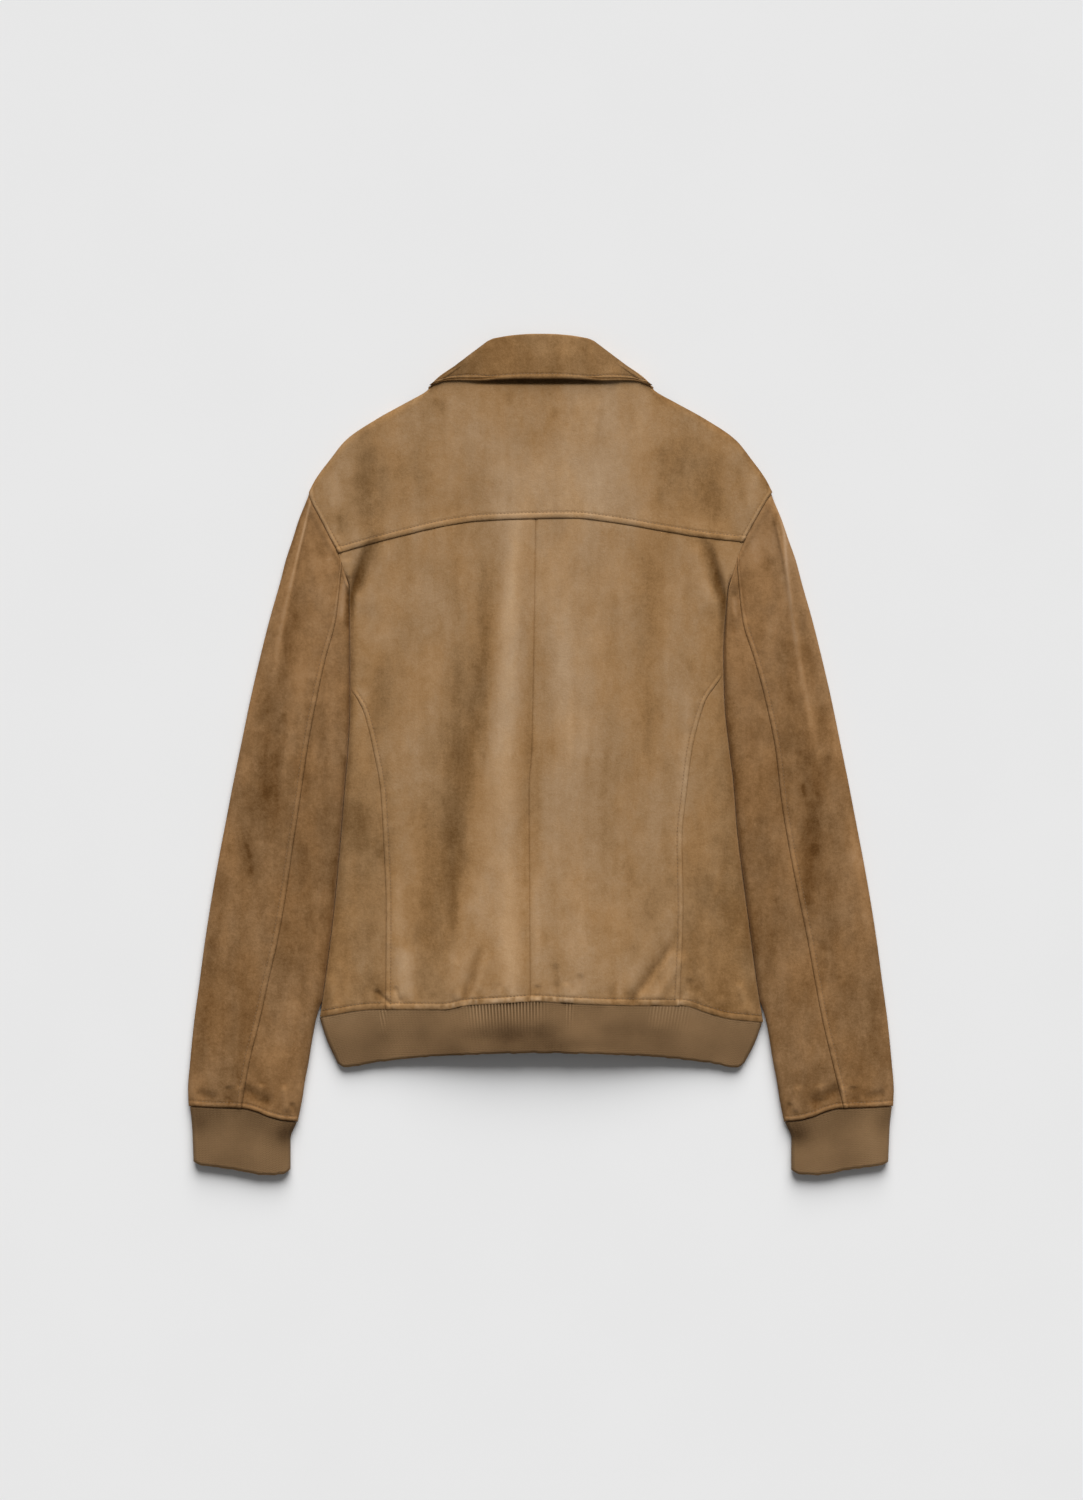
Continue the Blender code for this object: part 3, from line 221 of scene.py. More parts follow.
def joined(left, right):
    """The left half and the right half of a grid, which share their middle row."""
    return np.concatenate([left, right[-2::-1]])


def curve(at, xs, ys):
    """A smooth curve through points, level beyond its ends."""
    if xs[0] > xs[-1]:
        xs, ys = xs[::-1], ys[::-1]
    step = np.diff(xs)
    slope = np.diff(ys) / step
    product = slope[:-1] * slope[1:]
    safe = np.where(product > 0, slope[:-1] + slope[1:], 1.0)
    inner = np.where(product > 0, 2 * product / safe, 0.0)
    tangent = np.concatenate([slope[:1], inner, slope[-1:]])
    i = np.clip(np.searchsorted(xs, at) - 1, 0, len(step) - 1)
    t = np.clip((at - xs[i]) / step[i], 0.0, 1.0)
    start = ys[i] * (2 * t**3 - 3 * t**2 + 1) + tangent[i] * step[i] * (t**3 - 2 * t**2 + t)
    return start + ys[i + 1] * (3 * t**2 - 2 * t**3) + tangent[i + 1] * step[i] * (t**3 - t**2)


def smooth(t):
    """A soft step from 0 to 1."""
    t = np.clip(t, 0.0, 1.0)
    return t * t * (3 - 2 * t)


def bell(away, width):
    """1 in the middle, falling away to either side over a width."""
    return np.exp(-((away / width) ** 2))


def line_at(table, at):
    """The curve through a table's second column, at places in its first."""
    return curve(at, *columns(table))


def side_column(table, side, at):
    """The same for a table with one column for the left side and one for the right."""
    y, left, right = columns(table)
    return curve(at, y, left if side < 0 else right)


def side_edge(side, y):
    """Half width of the body."""
    return side_column(SIDE_LINE, side, y)


print("half width at the hem", round(float(side_edge(-1, HEM_Y)), 1), "mm")

# %% [markdown]
# ## How the cloth lies
#
# Suede with a lining is heavy. It lies in long soft waves, with short puckers where a
# seam draws it in. The waves are placed one by one, each a ridge or a trough along a line.
# A quiet unevenness between them comes from a lattice of chance heights, drawn smooth.

# %% Folds, as lines on the plan
BACK_FOLDS = (
    # x0, y0, x1, y1, half width, height
    (-188, 188, -186, 172, 4, 0.8), (-150, 200, -168, 140, 9, 1), (150, 200, 163, 140, 9, 0.9),
    (15, 190, 24, 0, 12, 0.5), (100, 195, 102, 10, 12, -0.7), (60, -120, 64, -236, 9, -0.5),
    (-100, -120, -104, -230, 10, -0.6), (-82, -200, -84, -236, 5, 0.8),
    (-132, -185, -131, -236, 9, 1.3), (-121, -170, -121, -230, 4, -1),
    (-160, -229, -146, -241, 2.4, -1.6), (-141, -226, -136, -240, 2.4, -1.2),
    (-40, -222, -46, -238, 3, -0.7), (-3, -224, -3, -236, 3, -1.2),
    (14, -205, 14, -236, 3, -1.4), (24, -222, 24, -240, 4, 1), (38, -214, 38, -236, 3, -1.2),
    (121, -150, 84, -230, 7, 1), (138, -196, 112, -238, 5, 1.4),
    (144, -218, 140, -236, 3, -1.2), (170, -130, 176, -235, 8, -0.8),
    (158, -170, 160, -236, 6, 0.7), (192, -222, 200, -250, 3.5, 1.2),
    (-180, -180, -176, -236, 7, -0.7), (-195, -200, -186, -240, 4, 0.8),
    (-206, -215, -200, -246, 5, 1), (-172, 290, -168, 222, 12, -0.8),
    (168, 285, 166, 222, 14, -0.8), (-60, 340, -90, 250, 24, 0.6), (50, 335, 88, 246, 22, 0.5),
)
LONG_FOLDS = (
    # lean, then points down the fold: x, y, half width, height
    (-0.3, (-158, 210, 6, -0.6), (-168, 198, 7, -2.6), (-175, 180, 7, -4.2),
     (-180, 164, 5.5, -5), (-184, 150, 4, -3.8), (-185, 125, 4, -1.4), (-184, 60, 5, 0)),
    (0.3, (154, 211, 6, -0.6), (162, 198, 7, -2.6), (168, 179, 7.5, -4), (175, 159, 6, -4.8),
     (178, 146, 4.5, -4), (177, 122, 4, -1.4), (175, 60, 5, 0)),
    (0.2, (-47, 170, 12, 0), (-55, 90, 14, -0.8), (-76, -20, 17, -1), (-92, -125, 16, -0.9),
     (-98, -236, 12, -0.6)),
    (0, (-25, 222, 8, 0.4), (-31, 100, 10, 1), (-36, -20, 10, 0.8), (-32, -130, 11, 0.6),
     (-27, -236, 10, 1)),
    (0.2, (-58, -186, 3, 0), (-62, -200, 4, -1.8), (-68, -222, 4, -2.8), (-74, -240, 3.5, -2.2)),
    (0, (-49, -190, 4, 0), (-55, -208, 4.5, 1.2), (-63, -234, 4.5, 1.4)),
    (0.2, (134, -170, 4, 0), (126, -186, 4.5, -2), (108, -212, 4.5, -2.6), (90, -238, 4, -1.6)),
)
SLEEVE_FOLDS = (
    # x0, y0, x1, y1, half width, height, on either sleeve
    (187, 160, 187, 118, 4, -1.6), (205, 120, 232, -60, 9, -0.8), (250, 40, 262, -110, 7, -0.7),
    (300, -60, 312, -220, 9, 0.8), (246, -240, 258, -310, 9, 0.8),
    (288, -324, 262, -338, 6, -2), (302, -322, 302, -336, 4, -1.2),
    (332, -328, 314, -333, 5, -1.3), (248, -322, 246, -345, 4, 1.5),
    (292, -322, 293, -339, 3, 1.3), (270, -320, 272, -334, 4, 1),
    (241, -338, 236, -350, 2.5, -1.2),
)
LONG_SLEEVE_FOLDS = (
    # lean, then points down the fold, on either sleeve
    (0, (222, 247, 1.8, 0.4), (228.5, 220, 1.8, 1.3), (238, 176, 2.4, 1.3), (251, 90, 4.5, 1.2),
     (264, -20, 7, 1), (280, -160, 9, 0.5)),
    (0, (220, 236, 4, -0.3), (226, 205, 6, -1), (238, 130, 7, -1), (250, 40, 9, -0.6),
     (262, -60, 9, 0)),
)
PATH_PIECES = 28
PATH_REACH = 3.2


def fold_relief(table, x, y):
    """Height that the folds of a table add at places on the plan."""
    total = np.zeros(np.broadcast(x, y).shape)
    for x0, y0, x1, y1, half_width, height in table:
        run_x, run_y = x1 - x0, y1 - y0
        length = math.hypot(run_x, run_y)
        along = ((x - x0) * run_x + (y - y0) * run_y) / length**2
        across = ((x - x0) * run_y - (y - y0) * run_x) / length
        ends = smooth((along + 0.15) / 0.3) * smooth((1.15 - along) / 0.3)
        total += height * ends * bell(across, half_width)
    return total


def path_relief(paths, x, y):
    """Height of folds along curves. A lean above 0 makes a fold wider on its left."""
    x, y = np.broadcast_arrays(x, y)
    total = np.zeros(x.shape)
    for lean, *points in paths:
        table = columns(points)
        steps = np.hypot(np.diff(table[0]), np.diff(table[1]))
        along = summed(steps)
        at = np.linspace(0, along[-1], PATH_PIECES + 1)
        px, py, width, height = (curve(at, along, values) for values in table)
        reach = PATH_REACH * width.max()
        near = (x > px.min() - reach) & (x < px.max() + reach)
        near &= (y > py.min() - reach) & (y < py.max() + reach)
        qx, qy = x[near][:, None], y[near][:, None]
        run_x, run_y = np.diff(px), np.diff(py)
        t = (qx - px[:-1]) * run_x + (qy - py[:-1]) * run_y
        t = np.clip(t / (run_x**2 + run_y**2), 0, 1)
        off_x, off_y = qx - px[:-1] - t * run_x, qy - py[:-1] - t * run_y
        away = np.hypot(off_x, off_y)
        best = away.argmin(1)
        row = np.arange(len(best))
        place = best + t[row, best]
        left = np.sign(off_x[row, best] * run_y[best] - off_y[row, best] * run_x[best])
        wide, high = (np.interp(place, np.arange(len(at)), values) for values in (width, height))
        total[near] += high * bell(away[row, best], wide * (1 + lean * left))
    return total


LATTICE = 128


def chance(x, y, size_x, size_y, seed):
    """A smooth field of chance values from -1 to 1, with hills of that size in mm."""
    lattice = np.random.default_rng(seed).uniform(-1, 1, (LATTICE, LATTICE))
    u, v = x / size_x + 500.3, y / size_y + 500.7
    i, j = np.floor(u).astype(int), np.floor(v).astype(int)
    a, b = smooth(u - i), smooth(v - j)
    corner = [lattice[(i + p) % LATTICE, (j + q) % LATTICE] for p in (0, 1) for q in (0, 1)]
    low, high = ((1 - b) * corner[k] + b * corner[k + 1] for k in (0, 2))
    return (1 - a) * low + a * high


def drape(x, y):
    """The quiet unevenness of cloth that has been laid down."""
    return 0.45 * chance(x, y, 38, 90, 3) + 0.22 * chance(x, y, 17, 34, 4)


# The cloth rises a little over the collar, and the hem stands off the table.
NECK_RISE = 0.8
NECK_RISE_RADIUS = (118.0, 105.0)
NECK_RISE_CENTRE_Y = 335.0
NECK_HOLLOW = 4.8
HEM_RISE = 15.0
RISE_AT_SEAM = 0.55


def hem_rise(x):
    """How far the hem stands up: most at its middle, while its corners lie down."""
    return HEM_RISE * (1 - smooth((np.abs(x) - 25) / 175)) - 0.8 * smooth((np.abs(x) - 170) / 40)


def back_height(x, y):
    reach = np.hypot(x / NECK_RISE_RADIUS[0], (y - NECK_RISE_CENTRE_Y) / NECK_RISE_RADIUS[1])
    hollow = smooth((y - 356.5) / 6) * smooth((80 - np.abs(x)) / 50)
    folds = fold_relief(BACK_FOLDS, x, y) + path_relief(LONG_FOLDS, x, y)
    rise = NECK_RISE * smooth((1.25 - reach) / 0.6) - NECK_HOLLOW * hollow
    at_hem = RISE_AT_SEAM * hem_rise(x) * smooth((-80 - y) / 160)
    return BODY_HEIGHT + folds + drape(x, y) + rise + at_hem


print("short folds", len(BACK_FOLDS) + 2 * len(SLEEVE_FOLDS))

# %% [markdown]
# A seam is seen by its shadow and by the cloth beside it. The edge turns down into the
# seam, the doubled cloth under the topstitching makes a low welt, and the stitches pull
# a groove. The thread also gathers the welt a little, unevenly.

# %% The cross-section of a seam
GROOVE = 0.9
SEAM_LINE = 0.6


def welt(away, width, along, height, seed, gather=6.5):
    """Relief beside a topstitched seam, at a distance from the seam and along it."""
    inside = np.clip(away / width, 0, 1)
    uneven = 1 + 0.4 * chance(along, 0 * along, gather, 50, seed)
    puff = height * np.sin(math.pi * inside) ** 0.7 * uneven
    groove = 0.35 * bell(away - width, GROOVE)
    pucker = 0.35 * chance(along, away, 7.5, 30, seed + 1) * bell(away - width, 9.0)
    return np.where(away >= 0, puff - groove + pucker, 0.0)


def turned_edge(away, depth, width):
    """How far cloth turns down into a seam that is this far away."""
    return -depth * np.exp(-np.abs(away) / width)


def painted_seam_line_shade(away, dark):
    """Painted shade in the line of a seam."""
    return dark * np.exp(-np.abs(away) / SEAM_LINE)


def seam_tone(away, width, strip, stitched, dark):
    """The same for a topstitched seam: painted shade in its line and in the groove at the
    stitches, and a lighter or darker strip on the welt.
    """
    inside = np.sin(math.pi * np.clip(away / width, 0, 1))
    return painted_seam_line_shade(away, dark) + strip * inside + stitched * bell(away - width, GROOVE)


# %% [markdown]
# ## Round folds
#
# A garment that is laid flat goes round at its sides: over the top, round the outermost
# line and back under to the table. One number, the length of cloth from the outermost
# line, says where a point is on that path.

# %% The path round a fold
def fold_station(arc, roll, share=1.0):
    """Inset from the outline, and angle, at a length of cloth from a fold's outer line."""
    bend = np.where(arc > 0, roll, FOLD_MID)
    quarter = bend * math.pi / 2
    turned = np.minimum(np.abs(arc) / quarter, 1.0) * math.pi / 2
    round_inset = bend * (1 - np.cos(turned)) + np.maximum(np.abs(arc) - quarter, 0.0)
    inset = share * round_inset + (1 - share) * np.abs(arc)
    angle = turned * share + (1 - share) * math.pi / 2
    return inset, np.where(arc < 0, -angle, angle)


def arc_of_inset(inset, roll, share=1.0):
    """Length of cloth at which the upper face lies this far in from the outline."""
    quarter = roll * math.pi / 2
    near = share * quarter * np.arccos(np.clip(1 - inset / roll, -1, 1)) * 2 / math.pi
    near = near + (1 - share) * inset
    return np.where(inset >= roll, inset + share * (quarter - roll), near)


def under_arc(inset):
    """The same for the lower face, on the floor, as a negative length."""
    near = -FOLD_MID * np.arccos(np.clip(1 - inset / FOLD_MID, -1, 1))
    return np.where(inset < FOLD_MID, near, -(inset - FOLD_MID + FOLD_MID * math.pi / 2))


def fold_height(angle, top, mid):
    """Height on a round fold, from the table up to the top."""
    return mid + np.sin(angle) * np.where(angle > 0, top - mid, mid)


def cloth_points(x, y, inward_x, inward_y, angle, height, thickness):
    """Points of a wall's outer face, and those of its inner face behind them."""
    outer = np.stack(np.broadcast_arrays(x, y, height), -1)
    level = np.cos(angle) * thickness
    parts = (inward_x * level, inward_y * level, -np.sin(angle) * thickness)
    return outer, outer + np.stack(np.broadcast_arrays(*parts), -1)


# %% [markdown]
# ## Materials
#
# Suede has a short nap. Brushed one way it is light, the other way dark, so the colour
# wanders in soft patches and streaks although the dye is even. Each piece carries a
# number for that at every point, and fine noise breaks it up. The same number also
# holds painted shade in creases, seams and troughs and painted light on ridges. A little
# sheen lights the nap where it is seen edge on. The knit is plain wool, with painted
# shade in its furrows.

# %% Node helpers
class Finish:
    """A material while it is made: its nodes, its shader and short ways to join them."""

    def __init__(self, name, roughness):
        self.material = bpy.data.materials.new(name)
        self.material.use_nodes = True
        self.nodes = self.material.node_tree.nodes
        self.link = self.material.node_tree.links.new
        self.shader = self.nodes["Principled BSDF"]
        self.shader.inputs["Roughness"].default_value = roughness

    def nap_and_shade(self):
        """The number that each point of a piece carries."""
        node = self.nodes.new("ShaderNodeAttribute")
        node.attribute_name = "nap_and_shade"
        return node.outputs["Fac"]

    def place(self, scale=(1, 1, 1)):
        """Where a point is on the jacket, in metres, stretched on each axis."""
        node = self.nodes.new("ShaderNodeMapping")
        node.inputs["Scale"].default_value = scale
        source = self.nodes.new("ShaderNodeTexCoord").outputs["Object"]
        self.link(source, node.inputs["Vector"])
        return node.outputs["Vector"]

    def noise(self, vector, scale, detail, roughness=0.55):
        node = self.nodes.new("ShaderNodeTexNoise")
        node.inputs["Scale"].default_value = scale
        node.inputs["Detail"].default_value = detail
        node.inputs["Roughness"].default_value = roughness
        self.link(vector, node.inputs["Vector"])
        return node.outputs["Fac"]

    def math(self, operation, a, b=0):
        node = self.nodes.new("ShaderNodeMath")
        node.operation = operation
        for socket, value in zip(node.inputs, (a, b)):
            if isinstance(value, (int, float)):
                socket.default_value = value
            else:
                self.link(value, socket)
        return node.outputs[0]

    def plus(self, tone, field, weight):
        return self.math("ADD", tone, self.math("MULTIPLY", field, weight))

    def mixed(self, tone, fields):
        """A tone with fields of chance added to it, each about its middle and by weight."""
        for field, weight in fields:
            tone = self.plus(tone, self.math("SUBTRACT", field, 0.5), weight)
        return tone

    def ramp(self, value, *stops):
        """Colours between stops, each a place from 0 to 1 and a colour."""
        node = self.nodes.new("ShaderNodeValToRGB")
        ends = node.color_ramp.elements
        for element, (place, colour) in zip(ends, (stops[0], stops[-1])):
            element.position, element.color = place, (*colour, 1)
        for place, colour in stops[1:-1]:
            ends.new(place).color = (*colour, 1)
        self.link(value, node.inputs["Fac"])
        return node.outputs["Color"]

    def colour(self, output):
        self.link(output, self.shader.inputs["Base Color"])

    def bump(self, height, distance, strength=1.0):
        node = self.nodes.new("ShaderNodeBump")
        node.inputs["Strength"].default_value = strength
        node.inputs["Distance"].default_value = distance
        self.link(height, node.inputs["Height"])
        self.link(node.outputs["Normal"], self.shader.inputs["Normal"])


# %% Suede
SUEDE_STOPS = (0.0, 0.2, 0.38, 0.545, 1.0)
BLACK, WHITE = (0, 0, 0), (1, 1, 1)
WARM_CAST, COOL_CAST = (1.0, 0.97, 0.87), (0.965, 0.99, 0.985)


def suede(name, colours, mottle=1.0):
    """Suede in five colours, from the bottom of a crease to brushed light."""
    made = Finish(name, 0.95)
    made.shader.inputs["Specular IOR Level"].default_value = 0.06
    made.shader.inputs["Sheen Weight"].default_value = 0.05
    made.shader.inputs["Sheen Roughness"].default_value = 0.4
    made.shader.inputs["Sheen Tint"].default_value = (0.95, 0.78, 0.58, 1)
    even, streaked, tall = (made.place((1, squeeze, 1)) for squeeze in (1, 0.2, 0.5))
    patches = made.noise(tall, 60, 7, 0.64)
    grain = made.noise(even, 420, 5, 0.75)
    fibres = made.noise(even, 1800, 3, 0.7)
    fields = (
        (made.noise(streaked, 120, 6, 0.62), 0.15),
        (made.noise(even, 42, 8, 0.68), 0.26 * mottle),
        (made.noise(even, 120, 5, 0.72), 0.20 * mottle),
        (made.ramp(patches, (0.43, BLACK), (0.57, WHITE)), 0.055 * mottle),
        (grain, 0.34),
        (fibres, 0.18),
    )
    tone = made.mixed(made.math("MULTIPLY", made.nap_and_shade(), 0.115), fields)
    tone = made.math("ADD", tone, 0.56)
    cast = made.ramp(made.noise(tall, 24, 6, 0.6), (0.40, WARM_CAST), (0.60, COOL_CAST))
    dyed = made.nodes.new("ShaderNodeMix")
    dyed.data_type, dyed.blend_type = "RGBA", "MULTIPLY"
    dyed.inputs[0].default_value = 1.0
    made.link(made.ramp(tone, *zip(SUEDE_STOPS, colours)), dyed.inputs[6])
    made.link(cast, dyed.inputs[7])
    made.colour(dyed.outputs[2])
    made.bump(made.plus(grain, fibres, 0.6), 0.0005, 0.6)
    return made.material


# %% Rib knit
def rib_knit(name, colours):
    """Wool knitted in ribs. Its UV map counts ribs across and rows of loops along."""
    made = Finish(name, 0.92)
    made.shader.inputs["Specular IOR Level"].default_value = 0.06
    made.shader.inputs["Sheen Weight"].default_value = 0.08
    made.shader.inputs["Sheen Tint"].default_value = (0.9, 0.75, 0.6, 1)
    even = made.place()
    uv = made.nodes.new("ShaderNodeSeparateXYZ")
    made.link(made.nodes.new("ShaderNodeUVMap").outputs["UV"], uv.inputs[0])
    across = made.math("PINGPONG", uv.outputs[0], 0.5)
    leaning = made.plus(uv.outputs[1], across, 1.1)
    loops = made.math("SINE", made.math("MULTIPLY", leaning, 2 * math.pi))
    fluff = made.noise(even, 900, 4, 0.7)
    clouds = made.noise(even, 26, 5, 0.55)
    tone = made.math("MULTIPLY", made.nap_and_shade(), 0.15)
    tone = made.mixed(tone, ((fluff, 0.35), (clouds, 0.35)))
    tone = made.math("ADD", made.plus(tone, loops, 0.03), 0.5)
    made.colour(made.ramp(tone, *zip((0.0, 0.5, 1.0), colours)))
    made.bump(made.math("ADD", made.math("MULTIPLY", loops, 0.35), fluff), 0.0004, 0.6)
    return made.material


# %% Thread, tape and metal
def thread(name, colour):
    made = Finish(name, 0.7)
    darker = tuple(v * 0.6 for v in colour)
    twist = made.noise(made.place(), 2200, 2)
    made.colour(made.ramp(twist, (0.3, darker), (0.7, colour)))
    return made.material


def woven_tape(name, dark, light):
    made = Finish(name, 0.85)
    weave = made.nodes.new("ShaderNodeTexChecker")
    weave.inputs["Scale"].default_value = 1.0
    made.link(made.place((1400, 1400, 1400)), weave.inputs["Vector"])
    made.colour(made.ramp(weave.outputs["Fac"], (0.0, dark), (1.0, light)))
    made.bump(weave.outputs["Fac"], 0.0002)
    return made.material


def aged_metal(name, dark, light):
    made = Finish(name, 0.35)
    made.shader.inputs["Metallic"].default_value = 1.0
    wear = made.noise(made.place(), 420, 4)
    made.colour(made.ramp(wear, (0.3, dark), (0.7, light)))
    dull = made.math("ADD", made.math("MULTIPLY", wear, 0.35), 0.2)
    made.link(dull, made.shader.inputs["Roughness"])
    return made.material


# %% The jacket's materials
SUEDE_COLOURS = (
    (0.042, 0.0165, 0.004), (0.118, 0.0555, 0.017), (0.209, 0.1135, 0.047),
    (0.306, 0.175, 0.080), (0.485, 0.322, 0.194),
)
SLEEVE_TINT = (0.98, 0.955, 0.97)
KNIT_COLOURS = ((0.055, 0.029, 0.012), (0.205, 0.122, 0.058), (0.345, 0.220, 0.115))


def tinted(colours, tint):
    return tuple(tuple(v * share for v, share in zip(colour, tint)) for colour in colours)


BODY_SUEDE = suede("body_suede", SUEDE_COLOURS)
SLEEVE_SUEDE = suede("sleeve_suede", tinted(SUEDE_COLOURS, SLEEVE_TINT), 1.15)
COLLAR_SUEDE = suede("collar_suede", SUEDE_COLOURS)
KNIT = rib_knit("hem_knit", KNIT_COLOURS)
THREAD = thread("tan_thread", (0.26, 0.155, 0.072))
TAPE = woven_tape("zip_tape_weave", (0.09, 0.055, 0.03), (0.14, 0.09, 0.05))
ZIP_METAL = aged_metal("aged_brass", (0.30, 0.24, 0.14), (0.50, 0.42, 0.28))
print("materials", [material.name for material in bpy.data.materials])

# %% [markdown]
# Brush marks are where somebody's hand, or the table, has turned the nap. Some marks
# are painted light and shade instead: thin painted highlights down the pressed creases
# of the sleeves with painted shade beside them, and lighter or darker cloth beside the
# folds and creases. They are placed one by one, as soft lines, light or dark. Finer
# streaks run down the body, and rounder blots cover the sleeves.

# %% Where the nap is turned, and painted light and shade
BRUSH_PATHS = (
    # lean, then points down the mark: x, y, half width, amount
    (0.4, (-45, 192, 10, 0), (-47, 168, 13, -0.9), (-55, 84, 17, -1.5), (-72, -20, 22, -1.7),
     (-86, -120, 22, -1.5), (-95, -190, 18, -1), (-99, -238, 14, -0.7)),
    (0, (-24, 226, 9, 1.6), (-29, 130, 11, 2.4), (-32, 40, 11, 2), (-37, -50, 13, 1.3),
     (-36, -120, 13, 1), (-29, -190, 11, 1.7), (-26, -238, 10, 1)),
    (0, (100, 215, 11, -0.6), (99, 150, 13, -1.2), (102, 40, 13, -1.2), (104, -30, 14, 0)),
    (0, (8, 220, 12, 0.6), (14, 120, 14, 1.1), (24, 0, 14, 1), (34, -110, 10, 0.6),
     (34, -225, 8, 0.7)),
    (0.3, (62, 340, 3, 0), (60, 332, 4, -0.8), (57, 322, 3, 0)),
    (0, (12, 338, 3, 0), (13, 330, 3, -0.9), (11, 322, 3, 0)),
    (0, (-30, 352, 4, 0), (-31, 344, 5, -0.8), (-28, 335, 3, 0)),
    (0, (-100, 345, 4, -0.3), (-97, 334, 6, -0.6), (-94, 326, 5, 0)),
    (-0.45, (-168, 325, 9, -0.3), (-171, 295, 15, -1.1), (-171, 255, 17, -1.3),
     (-168, 212, 12, -0.8)),
    (0.4, (150, 310, 18, -0.4), (160, 272, 22, -1.2), (168, 238, 22, -1.5), (168, 210, 12, -0.8)),
)
# The first three paths are painted highlights on the sleeves' pressed creases, and painted shade
# beside them.
SLEEVE_PATHS = (
    (0, (-223, 247, 1.2, 1.2), (-229.5, 217, 1.2, 3), (-239, 178, 1.6, 2.2),
     (-253, 112, 2.8, 1.4), (-262, 40, 4, 0)),
    (0, (-227, 244, 1.6, -0.6), (-233, 228, 2, -1.4), (-237, 216, 2.2, -1.3),
     (-245, 190, 3, -0.8), (-256, 150, 4, 0)),
    (0, (228, 240, 1.5, 0.6), (235.5, 215, 1.6, 2.6), (238, 180, 1.7, 2), (245, 120, 2.4, 1.5),
     (258, 50, 3, 1.2), (272, -20, 3.5, 0)),
    (0, (-302, -90, 6, 0), (-311, -150, 7, -1), (-325, -250, 8, -1), (-330, -300, 6, -0.6)),
    (0, (240, 190, 5, 0), (248, 150, 6, -0.8), (271, 50, 7, -0.9), (284, -20, 6, 0)),
    (0, (318, -210, 6, 0), (324, -250, 7, -0.6), (327, -290, 6, -0.4)),
    (0, (292, -20, 4, 0), (297, -50, 5, 0.8), (315, -150, 5, 0.8), (320, -190, 4, 0)),
)
BRUSH_AND_PAINTED_LIGHT_MARKS = (
    # x0, y0, x1, y1, half width, amount: light above 0, dark below
    (-84, -110, -84, -190, 5, -0.9), (-52, -60, -58, -160, 9, 0.4), (-4, -120, -4, -215, 4, 1),
    (12, -120, 14, -230, 5, -0.6), (70, 150, 74, -110, 14, -0.4), (126, 98, 124, -6, 8, 0.5),
    # The light marks near x -155 and -170 are painted light on the body beside its crease with
    # the sleeve.
    (-137, 113, -141, 60, 16, -0.6), (-155, 165, -150, 100, 10, 0.7),
    (-103, 98, -111, -36, 9, 0.4), (-174, -45, -172, -95, 15, -1.4),
    (-155, -90, -155, -100, 4, -0.8), (-132, -190, -131, -236, 8, 2),
    (-138, -120, -136, -175, 9, 0.9), (-113, -130, -114, -230, 7, -0.5),
    (178, -120, 186, -165, 11, -0.6), (143, 69, 136, -51, 5, 0.6),
    (84, -110, 96, -160, 12, -0.3), (124, -150, 118, -180, 8, 0.5),
    (-50, 262, 70, 260, 36, 1.5), (118, 300, 126, 250, 20, -0.55),
    (-172, -100, -168, -200, 10, -0.35), (166, -60, 174, -190, 12, 0.35),
    (-170, 66, -172, 30, 6, 0.9), (-122, 300, -112, 250, 16, -0.5),
    (192, 285, 192, 245, 4, -0.6), (-203, 272, -199, 238, 7, 1.2),
    (-190, 285, -186, 268, 7, 0.8), (-194, 232, -194, 214, 3.5, -1.2),
    (206, 272, 205, 238, 6, 1), (-88, 330, -60, 330, 25, 0.5), (-107, 345, -100, 338, 6, -0.5),
    (-165, -215, -150, -232, 9, -0.9), (152, -222, 158, -234, 8, -0.9),
    (116, -226, 132, -234, 9, -0.9), (-36, -226, -26, -236, 11, -0.6),
    (-66, -226, -56, -236, 8, -0.5),
)
SLEEVE_MARKS = (
    # x0, y0, x1, y1, half width, amount
    (-214, 205, -212, 190, 6, -0.8), (-206, 190, -204, 176, 4, 0.8),
    (-228, 205, -240, 120, 7, -0.9), (-240, 130, -258, 50, 10, -1.2),
    (-258, 50, -270, -60, 12, -1.1), (-285, -80, -280, -125, 9, -0.7),
    (-285, -87, -281, -101, 2.6, -1.2), (-278, -107, -284, -117, 2.8, -0.8),
    (-262, -30, -264, -40, 4, -0.6), (-248, 40, -250, 30, 4, -0.9),
    # The light and dark marks at x -190 and -187 are painted light and shade beside the armhole's
    # crease.
    (-190, 168, -193, 132, 2.5, 1.6), (-187, 160, -187, 122, 3, -1), (206, 208, 206, 182, 5, 1),
    (222, 190, 228, 150, 6, -0.9), (228, 235, 226, 222, 3, -1), (232, 140, 248, 40, 9, -0.8),
    (268, -6, 258, -140, 12, -1.1), (253, -28, 255, -41, 2.8, -1.2),
    (267, -36, 268, -40, 2.2, -0.7), (256, -136, 260, -146, 5, -0.8),
    (272, -180, 275, -190, 5, -1.2), (268, -95, 262, -88, 4, -0.9),
    # The marks at x 186 and 191 are the same painted light and shade on the right.
    (186, 152, 189, 133, 2.5, 1.6), (191, 185, 193, 160, 3, -1), (246, -60, 246, -110, 6, 0.5),
)
SLEEVE_BASE = -0.45
SLEEVE_BASE_LOW = -1.25


